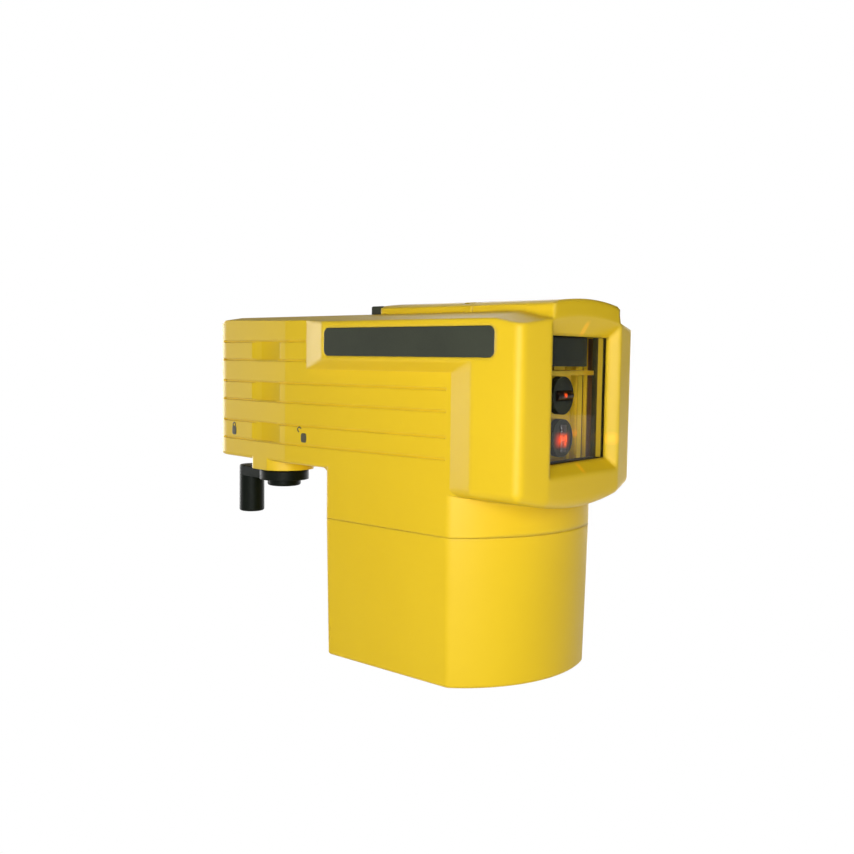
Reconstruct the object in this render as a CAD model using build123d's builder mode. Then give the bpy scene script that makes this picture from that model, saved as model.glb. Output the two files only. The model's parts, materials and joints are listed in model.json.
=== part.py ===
from build123d import *
from math import atan2, cos, degrees, hypot, radians, sin, sqrt, tan
import os

os.makedirs("parts", exist_ok=True)

# Sizes are in millimetres. +X points out of the window, +Z is up, and the origin is the
# middle of the flat base. The tube that the arm clamps stands behind the body.

# Tube and the holes it passes through
pole_d = 30.0
pole_fit = 0.1
pole_hole_gap = 0.45
pole_gap = 0.75

# Walls and clearances
wall = 2.5
joint_gap = 0.3
slide_fit = 0.15
turn_fit = 0.05
seat_gap = 0.1
cut_room = 20.0

# Body and battery cup. The front is one arc, and its foremost point lies off the middle,
# so the corner on the lever's side is cut back further than the other.
body_len = 78.4
body_w = 62.0
nose_r = 49.6
nose_side = 10.0
near_corner_r = 4.0
far_corner_r = 10.0
rear_r = 2.5
split_z = 50.0
parting_gap = 0.12
cup_draft = 1.2
cup_edge_r = 1.0

# Clamp arm
arm_bottom = 67.9
arm_reach = 55.0
arm_taper_from = 5.0
arm_rear_w = 50.8
arm_corner_r = 12.0
arm_edge_r = 1.5
inner_corner_r = 4.0

# Hip roof and its ridge
roof_z = 122.8
roof_flat_w = 42.0
eave_drop = 2.8
rear_bevel = 13.5
rear_drop = 4.6
arm_eave_drop = 3.6
rear_eave_drop = 3.3
front_hip = 12.5
ridge_start = 33.0
ridge_set = 0.5
ridge_side_h = 2.0
ridge_chamfer = 2.0
ridge_chamfer_h = 1.0
ridge_crown = 1.4
ridge_root = 5.0
ridge_flare = 1.5

# Hood, whose underside sags in the middle
hood_w = 70.0
nose_reach = 10.3
nose_w = 44.0
cheek_set = 2.6
hood_len = 20.7
hood_bevel = 10.8
hood_bottom = 60.0
hood_sag_r = 130.0
hood_edge_r = 3.2
hood_rim_r = 3.0

# Shoulders and the strips let into them
shoulder_start = 18.2
shoulder_bevel = 11.9
shoulder_z = 106.9
shoulder_slope = 3.7
strip_start = 19.3
strip_l = 73.0
strip_z = 108.0
strip_h = 9.8
strip_r = 2.0
strip_t = 1.2
strip_fit = 0.1

# Grooves and finger pockets along the arm
band_z = 75.3
band_h = 7.1
band_pitch = 15.45
band_count = 3
band_front = 16.0
groove_w = 0.8
groove_d = 0.6
groove_from = 8.5
pocket_from = 8.15
pocket_l = 18.45
pocket_d = 1.4

# Window
window_w = 39.5
window_z = 74.6
window_h = 40.7
funnel_depth = 3.8
funnel_w = 43.0
funnel_below = 3.6
funnel_above = 4.2
funnel_arch = 1.9
lip_t = 0.8
pane_t = 1.5
pane_margin = 2.0
frame_depth = 4.0
frame_wing = 5.5
frame_wing_h = 38.0
frame_screw_z = 30.0
frame_boss_r = 2.4

# Screws: a small pan-head screw with a cross recess
screw_r = 1.1
screw_head_r = 2.2
screw_head_h = 1.3
screw_gap = 0.2
cross_l = 2.4
cross_w = 0.5
cross_d = 0.7

# Top cover, circuit board and on/off switch
cover_gap = 0.15
cover_corner_r = 5.0
shelf_t = 2.5
shelf_land = 2.6
shelf_w = 2.2
cover_screw_in = 6.5
cover_screw_back = 3.5
cover_screw_y = 16.5
cover_screw_l = 8.0
cover_boss_r = 3.6
cover_boss_h = 9.0
board_w = 33.0
board_t = 1.6
board_drop = 7.4
board_from = 3.5
board_short = 8.15
board_screw_l = 5.0
standoff_r = 2.6
standoff_y = 13.0
standoff_rear = 18.0
standoff_front = 3.5
knob_l = 5.4
knob_w = 12.0
knob_h = 2.9
knob_gap = 0.4
knob_on_y = -13.0
knob_travel = 6.0
knob_rib = 0.5
stem_l = 2.6
stem_w = 4.0
switch_h = 4.4
switch_rim = 2.5
switch_depth = 2.0
chip_l = 9.0
chip_h = 1.6
chip_gap = 2.0
can_r = 3.2
can_h = 8.0
coil_l = 6.0
coil_h = 4.0

# Clamp: guide, shoe, cam, shaft and lever
sleeve_t = 3.2
foot_out = 3.6
foot_r = 3.4
foot_t = 2.5
foot_screw_l = 4.2
shoe_w = 16.0
shoe_window_h = 28.4
pad_t = 2.0
leaf_t = 0.4
leaf_h = 4.0
leaf_in = 1.0
cheek_t = 2.8
cheek_short = 0.7
bridge_z = 112.5
bridge_t = 4.0
bridge_r = 7.0
hub_back = 20.0
boss_r = 12.4
boss_over = 0.8
boss_h = 3.7
lever_turn = 150.0
cam_r = 5.6
cam_lift = 1.6
cam_gap = 0.1
cam_over = 20.0
cam_steps = 19
cam_z = 82.0
cam_h = 22.0
shaft_r = 3.8
shaft_top_r = 2.8
shaft_end_r = 3.0
shaft_flat = 0.7
ring_t = 0.8
ring_w = 1.0
bush_t = 2.0
bush_flange_w = 1.5
bush_flange_t = 1.0
hub_r = 9.6
lever_t = 4.0
lever_l = 19.4
lever_waist_r = 7.0
peg_r = 5.0
peg_h = 14.7
lever_edge_r = 0.8
cap_r = 6.5
cap_h = 2.5
cap_rim = 1.9
cap_floor = 0.8
lever_screw_r = 1.25
lever_screw_l = 8.0
lever_screw_head_r = 3.6
lever_screw_head_h = 1.3

# Pendulum hung on its gimbal behind the window
gimbal_back = 16.5
gimbal_drop = 10.3
hanger_r = 9.5
hanger_l = 16.0
hanger_wall = 2.0
hanger_drop = 4.4
hanger_rise = 5.0
hanger_roof = 1.0
lug_l = 8.0
lug_y = 21.5
lug_t = 3.0
lug_back = 3.0
lug_r = 3.5
hanger_screw_l = 6.0
bearing_r = 2.5
pin_r = 1.0
bar_r = 2.0
yoke_l = 5.0
yoke_w = 7.0
yoke_h = 5.0
ear_gap = 0.9
ear_t = 2.2
ear_w = 6.4
ear_top = 2.8
roll_bush_r = 1.9
plate_drop = 5.8
plate_t = 1.5
plate_w = 34.0
plate_back = 6.8
plate_front = 8.5
spine_ahead = 0.8
spine_l = 8.0
spine_w = 17.0
spine_step = 1.4
spine_step_h = 8.7
upper_z = 96.0
lower_z = 82.0
module_r = 6.0
module_l = 10.5
holder_r = 6.3
holder_l = 2.4
rod_r = 1.8
rod_l = 9.0
rod_out = 1.3
rod_fit = 0.02
disc_r = 9.5
disc_t = 2.5
disc_back = 3.4
disc_gap = 1.8
disc_screw_l = 6.0
magnet_back = 7.5
magnet_r = 2.6
magnet_h = 3.5
magnet_ring = 3.6
keeper_r = 6.4
keeper_t = 1.5
trim_r = 1.5
trim_l = 7.0
trim_in = 4.0
trim_up = 4.0

# Base plate, cup lip, catch and cells
plate_fit = 0.25
base_z = 54.7
base_t = 2.5
ledge_w = 1.6
ledge_t = 2.0
post_front_in = 25.2
post_rear_in = 7.35
post_side_in = 6.5
post_r = 5.0
post_h = 9.0
base_screw_l = 8.0
lip_fit = 0.2
lip_w = 1.3
lip_h = 3.5
rim_h = 5.0
latch_w = 11.4
latch_t = 2.0
latch_from = 3.45
latch_low = 18.0
button_z = 22.3
button_h = 11.4
button_out = 0.5
latch_travel = 1.6
latch_stop = 0.4
hook_h = 1.6
hook_reach = 0.8
spring_t = 0.3
spring_h = 8.0
spring_w = 10.0
cell_r = 7.25
cell_l = 50.5
cell_nub_r = 2.75
cell_nub_h = 1.0
cell_edge_r = 0.3
cell_fit = 0.2
well_wall = 1.45
well_web = 0.5
holder_gap = 0.3
well_h = 41.5
contact_w = 6.0
contact_l = 8.0
contact_t = 0.6
top_contact_t = 0.8

# Derived places
pole_r = pole_d / 2
guide_r = pole_r + pole_fit
pole_hole_r = pole_r + pole_hole_gap
body_rear = -body_len / 2
body_front = body_len / 2
pole_x = body_rear - pole_gap - pole_r
arm_rear = pole_x - arm_reach
arm_taper_x = pole_x - arm_taper_from
nose_x = body_front + nose_reach
cheek_x = nose_x - cheek_set
hood_rear = nose_x - hood_len
hood_foot = hood_rear - hood_bevel
hood_root = hood_foot - hood_bevel
hip_x = nose_x - front_hip
shell_bottom = split_z + parting_gap / 2
cup_top = split_z - parting_gap / 2
ridge_rear = pole_x + ridge_start
ridge_half = roof_flat_w / 2 - ridge_set
roof_slope = eave_drop / ((hood_w - roof_flat_w) / 2)
ceiling_z = roof_z - wall
shoulder_foot = pole_x + shoulder_start - shoulder_bevel
window_x = nose_x - funnel_depth
front_x = window_x - lip_t
sky = roof_z + cut_room
screw_hole_r = screw_r + turn_fit
screw_way_r = screw_r + screw_gap
screw_sink_r = screw_head_r + screw_gap

# Alignments of solids that stand on their place, hang from it or start at it
standing = (Align.CENTER, Align.CENTER, Align.MIN)
hanging = (Align.CENTER, Align.CENTER, Align.MAX)
forward = (Align.MIN, Align.CENTER, Align.CENTER)
forward_up = (Align.MIN, Align.CENTER, Align.MIN)
ahead = (Align.MIN, Align.CENTER)
behind = (Align.MAX, Align.CENTER)
below = (Align.CENTER, Align.MAX)


def arm_half_w(x):
    # Half the arm's width at x, behind where its flanks start to close in
    share = (arm_taper_x - x) / (arm_taper_x - arm_rear)
    return (body_w - share * (body_w - arm_rear_w)) / 2


def mirrored(points):
    # Points on one flank, followed by their mirror images in reverse order
    return points + [(x, -y) for x, y in reversed(points)]


def front_corner(y, inset):
    # Where the arc across the body's front meets the flank at y
    reach = sqrt((nose_r - inset) ** 2 - (y - nose_side) ** 2)
    return (body_front - nose_r + reach, y)


def body_plan(inset):
    # Straight rear and flanks, and one arc across the front
    half = body_w / 2 - inset
    near = front_corner(-half, inset)
    far = front_corner(half, inset)
    with BuildSketch(mode=Mode.PRIVATE) as plan:
        with BuildLine():
            Polyline(near, (body_rear + inset, -half), (body_rear + inset, half), far)
            ThreePointArc(far, (body_front - inset, nose_side), near)
        make_face()
        fillet(plan.vertices().sort_by(Axis.X)[-1], max(far_corner_r - inset, joint_gap))
        near_corner = plan.vertices().group_by(Axis.Y)[0].sort_by(Axis.X)[-1]
        fillet(near_corner, max(near_corner_r - inset, joint_gap))
        fillet(plan.vertices().group_by(Axis.X)[0], max(rear_r - inset, joint_gap))
    return plan.sketch


def arm_plan(inset):
    flank = [
        (arm_rear + inset, -arm_rear_w / 2 + inset),
        (arm_taper_x, -body_w / 2 + inset),
        (band_front, -body_w / 2 + inset),
    ]
    with BuildSketch(mode=Mode.PRIVATE) as plan:
        Polygon(*mirrored(flank), align=None)
        fillet(plan.vertices().group_by(Axis.X)[0], arm_corner_r - inset)
    return plan.sketch


def hood_points(inset):
    return mirrored(
        [
            (hood_root, -body_w / 2 + inset),
            (hood_foot, -body_w / 2 + inset),
            (hood_rear, -hood_w / 2 + inset),
            (cheek_x - inset, -hood_w / 2 + inset),
            (nose_x - inset, -nose_w / 2),
        ]
    )


def roof_points(drop):
    half = hood_w / 2 + wall
    edge_z = roof_z - drop - roof_slope * (half - roof_flat_w / 2)
    return mirrored([(0, -half), (edge_z, -half), (roof_z - drop, -roof_flat_w / 2)])


def arm_form(inset, edge_r):
    # The clamp arm, its lower edges rounded if edge_r isn't 0
    with BuildPart(mode=Mode.PRIVATE) as form:
        with BuildSketch(Plane.XY.offset(arm_bottom + inset)):
            add(arm_plan(inset))
        extrude(amount=sky - arm_bottom - inset)
        if edge_r > 0:
            fillet(form.edges().group_by(Axis.Z)[0], edge_r)
    return form.part


def hood_form(inset, rounded):
    # The hood before the roof is cut, its front corners and lower rim rounded for the outside
    with BuildPart(mode=Mode.PRIVATE) as form:
        with BuildSketch(Plane.XY.offset(hood_bottom)):
            Polygon(*hood_points(inset), align=None)
        extrude(amount=sky - hood_bottom)
        if rounded:
            corners = form.edges().filter_by(Axis.Z).filter_by(lambda edge: edge.center().X > hood_rear)
            fillet(corners, hood_edge_r)
        with BuildSketch(Plane.YZ.offset(hood_root)):
            with Locations((0, hood_bottom + hood_sag_r)):
                Circle(hood_sag_r - inset)
        extrude(amount=nose_x - hood_root, mode=Mode.INTERSECT)
        if rounded:
            rim = form.faces().sort_by(Axis.Z)[0].edges()
            fillet(rim.filter_by(lambda edge: edge.center().X > hood_foot), hood_rim_r)
    return form.part


def shell_form(inset, shoulders, arm, hood):
    # The upper shell's outer form at inset 0, or its hollow at an inset of the wall
    with BuildPart(mode=Mode.PRIVATE) as form:
        with BuildSketch(Plane.XY.offset(shell_bottom)):
            add(body_plan(inset))
        extrude(amount=sky - shell_bottom)
        add(arm)
        add(hood)
        for side in shoulders:
            foot = [
                (shoulder_foot, shoulder_z - shoulder_slope),
                (hood_rear, shoulder_z - shoulder_slope),
                (hood_rear, sky),
                (shoulder_foot, sky),
            ]
            face = [
                (shoulder_foot + shoulder_bevel, shoulder_z),
                (hood_rear, shoulder_z),
                (hood_rear, sky),
                (shoulder_foot + shoulder_bevel, sky),
            ]
            with BuildSketch(Plane.XZ.offset(-side * body_w / 2)):
                Polygon(*foot, align=None)
            with BuildSketch(Plane.XZ.offset(-side * hood_w / 2)):
                Polygon(*face, align=None)
            loft(ruled=True)
        with BuildSketch(Plane.YZ.offset(arm_rear)):
            Polygon(*[(y, z) for z, y in roof_points(inset)], align=None)
        extrude(amount=nose_x - arm_rear, mode=Mode.INTERSECT)
        with BuildSketch(Plane.XZ):
            Polygon(
                (arm_rear + inset, roof_z - inset - rear_drop),
                (arm_rear + inset + rear_bevel, roof_z - inset),
                (arm_rear + inset, sky),
                align=None,
            )
        extrude(amount=body_w, both=True, mode=Mode.SUBTRACT)
        # The arm's eaves lie lower, level along the closing flanks, and rise to the shoulders
        for side in (-1, 1):
            for x, slope in (
                (arm_rear, rear_eave_drop / ((arm_rear_w - roof_flat_w) / 2)),
                (arm_taper_x, arm_eave_drop / ((body_w - roof_flat_w) / 2)),
                (shoulder_foot + shoulder_bevel, roof_slope / 2),
            ):
                edge_y = hood_w / 2 + wall
                with BuildSketch(Plane.YZ.offset(x)):
                    Polygon(
                        (side * roof_flat_w / 2, roof_z - inset),
                        (side * edge_y, roof_z - inset - slope * (edge_y - roof_flat_w / 2)),
                        (side * edge_y, sky),
                        align=None,
                    )
            loft(ruled=True, mode=Mode.SUBTRACT)
        # The roof's front corners fall away beside the ridge
        start_y = ridge_half - inset
        start_z = roof_z - inset + roof_slope * (roof_flat_w / 2 - start_y)
        for side in (-1, 1):
            with BuildSketch(Plane.XZ.offset(-side * start_y)):
                Polygon(
                    (hip_x - inset, start_z),
                    (nose_x, start_z - roof_slope * (front_hip + inset)),
                    (nose_x, sky + hood_w),
                    (hip_x - inset, sky + hood_w),
                    align=None,
                )
            extrude(amount=hood_w, dir=(0, side, -roof_slope), mode=Mode.SUBTRACT)
    return form.part


def ridge(x_from, x_to, root, flare):
    # The raised band along the roof, its root sunk into the roof and flared by some amount
    side = [
        (-ridge_half - flare, roof_z - root),
        (-ridge_half, roof_z),
        (-ridge_half, roof_z + ridge_side_h),
        (-ridge_half + ridge_chamfer, roof_z + ridge_side_h + ridge_chamfer_h),
    ]
    with BuildPart(mode=Mode.PRIVATE) as band:
        with BuildSketch(Plane.YZ.offset(x_from)):
            with BuildLine():
                Polyline(*side)
                ThreePointArc(side[-1], (0, side[-1][1] + ridge_crown), (-side[-1][0], side[-1][1]))
                Polyline(*[(-y, z) for y, z in reversed(side)])
                Line((-side[0][0], side[0][1]), side[0])
            make_face()
        extrude(amount=x_to - x_from)
    return band.part


def pan_screw(length):
    # Screw with its head's underside on z 0 and its shank below
    with BuildPart(mode=Mode.PRIVATE) as screw:
        Cylinder(screw_head_r, screw_head_h, align=standing)
        fillet(screw.edges().group_by(Axis.Z)[-1], screw_head_h / 3)
        with Locations((0, 0, screw_head_h)):
            Box(cross_l, cross_w, cross_d, align=hanging, mode=Mode.SUBTRACT)
            Box(cross_w, cross_l, cross_d, align=hanging, mode=Mode.SUBTRACT)
        Cylinder(screw_r, length, align=hanging)
    return screw.part


# The finger pockets are scooped by a round cutter that stands off the closing flank
flank_turn = atan2((body_w - arm_rear_w) / 2, arm_taper_x - arm_rear)
pocket_mid = pole_x - pocket_from - pocket_l / 2
pocket_half = pocket_l / 2 / cos(flank_turn)
pocket_r = (pocket_half**2 + pocket_d**2) / (2 * pocket_d)
pocket_x = pocket_mid - (pocket_r - pocket_d) * sin(flank_turn)
pocket_y = arm_half_w(pocket_mid) + (pocket_r - pocket_d) * cos(flank_turn)

# Places of the clamp: the lever's hub stands beside the tube, behind it
hub_x = pole_x - hub_back
hub_y = -(arm_half_w(hub_x) + boss_over - boss_r)
hub_reach = hypot(hub_back, hub_y)
hub_angle = degrees(atan2(hub_y, -hub_back))
clamp_plane = Plane(
    origin=(pole_x, 0, 0),
    x_dir=(-hub_back / hub_reach, hub_y / hub_reach, 0),
    z_dir=(0, 0, 1),
)
arm_floor = arm_bottom + wall
sleeve_r = guide_r + sleeve_t
channel_half = shoe_w / 2 + slide_fit
boss_bottom = arm_bottom - boss_h
lever_top = boss_bottom - joint_gap
lever_bottom = lever_top - lever_t
bush_r = shaft_r + turn_fit + bush_t
foot_y = sleeve_r + foot_out
foot_spots = [clamp_plane.from_local_coords((0, side * foot_y, arm_floor + foot_t)) for side in (-1, 1)]

# Places of the top cover, the board under it and the switch
cover_rear = arm_rear + rear_bevel
cover_front = hood_foot
cover_half = roof_flat_w / 2
cover_seat = roof_z - screw_head_h
cover_screw_spots = [
    (x, side * cover_screw_y)
    for x in (cover_rear + cover_screw_in, cover_front - cover_screw_back)
    for side in (-1, 1)
]
board_top = ceiling_z - board_drop
board_rear = pole_x + sleeve_r + board_from
board_front = cover_front - board_short
board_mid = (board_rear + board_front) / 2
board_screw_spots = [
    (x, side * standoff_y)
    for x in (board_rear + standoff_rear, board_front - standoff_front)
    for side in (-1, 1)
]
knob_x = ridge_rear - knob_gap - knob_l / 2
slot_y = knob_on_y + knob_travel / 2

# Places behind the window
window_mid = window_z + window_h / 2
pane_half = window_w / 2 + pane_margin
frame_front = front_x - pane_t
frame_rear = frame_front - frame_depth
frame_screw_spots = [
    (side * (pane_half + frame_wing / 2), window_mid + rise * frame_screw_z / 2)
    for side in (-1, 1)
    for rise in (-1, 1)
]
gimbal_x = nose_x - gimbal_back
gimbal_z = ceiling_z - gimbal_drop
hanger_bottom = gimbal_z - hanger_drop
hanger_top = gimbal_z + hanger_rise
lug_x = gimbal_x - lug_back
lug_top = hanger_top + lug_t

# Places of the base plate and its posts
base_top = base_z + base_t
post_spots = [
    (x, side * (body_w / 2 - post_side_in))
    for x in (body_rear + post_rear_in, body_front - post_front_in)
    for side in (-1, 1)
]


def cover_plan(gap):
    # The top cover's outline, or its opening at a gap of 0
    with BuildSketch(mode=Mode.PRIVATE) as plan:
        with Locations(((cover_rear + cover_front) / 2, 0)):
            Rectangle(cover_front - cover_rear - 2 * gap, 2 * (cover_half - gap))
        fillet(plan.vertices().group_by(Axis.X)[0], cover_corner_r - gap)
    return plan.sketch


arm_outer = arm_form(0, arm_edge_r)
arm_inner = arm_form(wall, 0)
hood_outer = hood_form(0, True)
hood_inner = hood_form(wall, False)
shell_outer = shell_form(0, (-1, 1), arm_outer, hood_outer)
shell_inner = shell_form(wall, (), arm_inner, hood_inner)
hood_ridge = ridge(cover_front + cover_gap, nose_x, ridge_root, ridge_flare)
cover_ridge = ridge(ridge_rear, cover_front - cover_gap, wall / 2, 0)

with BuildPart() as shell_hollow:
    add(shell_inner)
    split(bisect_by=Plane.YZ.offset(front_x), keep=Keep.BOTTOM)

with BuildPart() as main_housing:
    add(shell_outer)
    add(hood_ridge)
    # Rounded corner under the arm, behind the body
    with BuildSketch(Plane.XZ):
        with Locations((body_rear, arm_bottom)):
            Rectangle(2 * inner_corner_r, 2 * inner_corner_r)
        with Locations((body_rear - inner_corner_r, arm_bottom - inner_corner_r)):
            Circle(inner_corner_r, mode=Mode.SUBTRACT)
            Rectangle(2 * inner_corner_r, inner_corner_r, align=below, mode=Mode.SUBTRACT)
            Rectangle(inner_corner_r, 2 * inner_corner_r, align=behind, mode=Mode.SUBTRACT)
    extrude(amount=body_w / 2 - rear_r, both=True)
    # Boss that the lever turns in, flush with the flank
    with BuildSketch(Plane.XY.offset(boss_bottom)):
        with Locations((hub_x, hub_y)):
            Circle(boss_r)
        add(arm_plan(0), mode=Mode.INTERSECT)
    extrude(amount=boss_h + wall)
    # Grooves at the edges of the bands, and finger pockets scooped between them
    for band in range(band_count):
        low = band_z + band * band_pitch
        front = shoulder_foot if band == band_count - 1 else band_front
        for groove_z in (low - groove_w / 2, low + band_h - groove_w / 2):
            with BuildSketch(Plane.XY.offset(groove_z)):
                with Locations((front, 0)):
                    Rectangle(front - arm_rear - groove_from, 2 * body_w, align=behind)
                add(arm_plan(groove_d), mode=Mode.SUBTRACT)
            extrude(amount=groove_w, mode=Mode.SUBTRACT)
        with BuildSketch(Plane.XY.offset(low)):
            with Locations((pocket_x, -pocket_y), (pocket_x, pocket_y)):
                Circle(pocket_r)
        extrude(amount=band_h, mode=Mode.SUBTRACT)
    add(shell_hollow.part, mode=Mode.SUBTRACT)
    # Recesses for the side strips
    for side in (-1, 1):
        with BuildSketch(Plane.XZ.offset(-side * hood_w / 2)):
            with Locations((pole_x + strip_start + strip_l / 2, strip_z + strip_h / 2)):
                RectangleRounded(strip_l, strip_h, strip_r + strip_fit)
        extrude(amount=side * strip_t, mode=Mode.SUBTRACT)
    # Funnel and window opening
    with BuildSketch(Plane.YZ.offset(nose_x)):
        with BuildLine():
            low = window_z - funnel_below
            high = window_z + window_h + funnel_above
            Polyline((-funnel_w / 2, high), (-funnel_w / 2, low), (funnel_w / 2, low), (funnel_w / 2, high))
            ThreePointArc((funnel_w / 2, high), (0, high + funnel_arch), (-funnel_w / 2, high))
        make_face()
    with BuildSketch(Plane.YZ.offset(window_x)):
        with Locations((0, window_mid)):
            Rectangle(window_w, window_h)
    loft(ruled=True, mode=Mode.SUBTRACT)
    with Locations((front_x, 0, window_mid)):
        Box(lip_t, window_w, window_h, align=forward, mode=Mode.SUBTRACT)
    # Screw bosses behind the hood's face
    with BuildSketch(Plane.YZ.offset(frame_front)):
        with Locations(*frame_screw_spots):
            Circle(frame_boss_r)
    extrude(amount=pane_t)
    with BuildSketch(Plane.YZ.offset(frame_front)):
        with Locations(*frame_screw_spots):
            Circle(screw_hole_r)
    extrude(amount=pane_t + lip_t, mode=Mode.SUBTRACT)
    # Opening for the top cover, with the shelf and bosses under its edge
    with BuildSketch(Plane.XY.offset(ceiling_z)):
        add(cover_plan(0))
    extrude(amount=sky - ceiling_z, mode=Mode.SUBTRACT)
    with BuildSketch(Plane.XY.offset(ceiling_z - shelf_t)):
        with Locations(((cover_rear + cover_front) / 2, 0)):
            Rectangle(cover_front - cover_rear + 2 * shelf_land, 2 * (cover_half + shelf_land))
            Rectangle(
                cover_front - cover_rear - 2 * shelf_w, 2 * (cover_half - shelf_w), mode=Mode.SUBTRACT
            )
    extrude(amount=shelf_t)
    with BuildSketch(Plane.XY.offset(ceiling_z - cover_boss_h)):
        with Locations(*cover_screw_spots):
            Circle(cover_boss_r)
    extrude(amount=cover_boss_h)
    with BuildSketch(Plane.XY.offset(ceiling_z - cover_boss_h)):
        with Locations(*cover_screw_spots):
            Circle(screw_hole_r)
    extrude(amount=cover_boss_h, mode=Mode.SUBTRACT)
    # Bosses that the pendulum hanger is screwed to
    with BuildSketch(Plane.XY.offset(lug_top)):
        with Locations((lug_x, -lug_y), (lug_x, lug_y)):
            Circle(lug_r)
    extrude(amount=ceiling_z - lug_top + wall / 2)
    with BuildSketch(Plane.XY.offset(lug_top)):
        with Locations((lug_x, -lug_y), (lug_x, lug_y)):
            Circle(screw_hole_r)
    extrude(amount=hanger_screw_l - lug_t, mode=Mode.SUBTRACT)
    # Ledge and posts above the base plate
    with BuildSketch(Plane.XY.offset(base_top)):
        add(body_plan(wall / 2))
        add(body_plan(wall + ledge_w), mode=Mode.SUBTRACT)
    extrude(amount=ledge_t)
    with BuildSketch(Plane.XY.offset(base_top)):
        with Locations(*post_spots):
            Circle(post_r)
        add(body_plan(wall / 2), mode=Mode.INTERSECT)
    extrude(amount=post_h)
    with BuildSketch(Plane.XY.offset(base_top)):
        with Locations(*post_spots):
            Circle(screw_hole_r)
    extrude(amount=base_screw_l, mode=Mode.SUBTRACT)
    # Tube hole in the arm's floor, lever bore and the feet's screw holes
    with Locations((pole_x, 0, boss_bottom - inner_corner_r)):
        Cylinder(pole_hole_r, boss_h + inner_corner_r + 2 * wall, align=standing, mode=Mode.SUBTRACT)
    with Locations((hub_x, hub_y, boss_bottom)):
        Cylinder(bush_r + turn_fit, boss_h + 2 * wall, align=standing, mode=Mode.SUBTRACT)
    with BuildSketch(clamp_plane.offset(arm_floor)):
        with Locations((0, -foot_y), (0, foot_y)):
            Circle(screw_hole_r)
    extrude(amount=foot_t - foot_screw_l - seat_gap, mode=Mode.SUBTRACT)

main_housing.part.label = "main_housing"
export_step(main_housing.part, "parts/main_housing.step")

with BuildPart() as top_cover:
    with BuildSketch(Plane.XY.offset(ceiling_z)):
        add(cover_plan(cover_gap))
    extrude(amount=wall)
    add(cover_ridge)
    with BuildSketch(Plane.XY.offset(board_top)):
        with Locations(*board_screw_spots):
            Circle(standoff_r)
    extrude(amount=board_drop)
    with BuildSketch(Plane.XY.offset(board_top)):
        with Locations(*board_screw_spots):
            Circle(screw_hole_r)
    extrude(amount=board_screw_l, mode=Mode.SUBTRACT)
    with Locations((pole_x, 0, ceiling_z)):
        Cylinder(pole_hole_r, wall, align=standing, mode=Mode.SUBTRACT)
    with Locations((knob_x, slot_y, ceiling_z)):
        Box(
            stem_l + 2 * slide_fit,
            stem_w + knob_travel + 2 * joint_gap,
            wall,
            align=standing,
            mode=Mode.SUBTRACT,
        )
    with BuildSketch(Plane.XY.offset(ceiling_z)):
        with Locations(*cover_screw_spots):
            Circle(screw_way_r)
    extrude(amount=wall, mode=Mode.SUBTRACT)
    with BuildSketch(Plane.XY.offset(cover_seat)):
        with Locations(*cover_screw_spots):
            Circle(screw_sink_r)
    extrude(amount=sky - cover_seat, mode=Mode.SUBTRACT)

top_cover.part.label = "top_cover"
export_step(top_cover.part, "parts/top_cover.step")

cover_screw = pan_screw(cover_screw_l)
with BuildPart() as top_cover_screws:
    with Locations(*[(x, y, cover_seat) for x, y in cover_screw_spots]):
        add(cover_screw)

top_cover_screws.part.label = "top_cover_screws"
export_step(top_cover_screws.part, "parts/top_cover_screws.step")

with BuildPart() as side_strip_right:
    with BuildSketch(Plane.XZ.offset(hood_w / 2 - strip_t)):
        with Locations((pole_x + strip_start + strip_l / 2, strip_z + strip_h / 2)):
            RectangleRounded(strip_l - 2 * strip_fit, strip_h - 2 * strip_fit, strip_r)
    extrude(amount=strip_t)

side_strip_right.part.label = "side_strip_right"
export_step(side_strip_right.part, "parts/side_strip_right.step")

with BuildPart() as side_strip_left:
    mirror(side_strip_right.part, about=Plane.XZ)

side_strip_left.part.label = "side_strip_left"
export_step(side_strip_left.part, "parts/side_strip_left.step")

with BuildPart() as window_pane:
    with Locations((frame_front, 0, window_mid)):
        Box(pane_t, 2 * pane_half, window_h + 2 * pane_margin, align=forward)

window_pane.part.label = "window_pane"
export_step(window_pane.part, "parts/window_pane.step")

with BuildPart() as window_frame:
    with BuildSketch(Plane.YZ.offset(frame_rear)):
        with Locations((0, window_mid)):
            Rectangle(2 * pane_half, window_h + 2 * pane_margin)
            Rectangle(2 * (pane_half + frame_wing), frame_wing_h)
            Rectangle(window_w, window_h, mode=Mode.SUBTRACT)
        with Locations(*frame_screw_spots):
            Circle(screw_way_r, mode=Mode.SUBTRACT)
    extrude(amount=frame_depth)

window_frame.part.label = "window_frame"
export_step(window_frame.part, "parts/window_frame.step")

frame_screw = pan_screw(frame_depth + pane_t + lip_t - seat_gap)
with BuildPart() as window_frame_screws:
    with Locations(*[Location((frame_rear, y, z), (0, -90, 0)) for y, z in frame_screw_spots]):
        add(frame_screw)

window_frame_screws.part.label = "window_frame_screws"
export_step(window_frame_screws.part, "parts/window_frame_screws.step")

with BuildPart() as circuit_board:
    with BuildSketch(Plane.XY.offset(board_top - board_t)):
        with Locations((board_mid, 0)):
            Rectangle(board_front - board_rear, board_w)
        with Locations(*board_screw_spots):
            Circle(screw_way_r, mode=Mode.SUBTRACT)
    extrude(amount=board_t)

circuit_board.part.label = "circuit_board"
export_step(circuit_board.part, "parts/circuit_board.step")

board_screw = pan_screw(board_t + board_screw_l - seat_gap)
with BuildPart() as board_screws:
    with Locations(*[Location((x, y, board_top - board_t), (180, 0, 0)) for x, y in board_screw_spots]):
        add(board_screw)

board_screws.part.label = "board_screws"
export_step(board_screws.part, "parts/board_screws.step")

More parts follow.
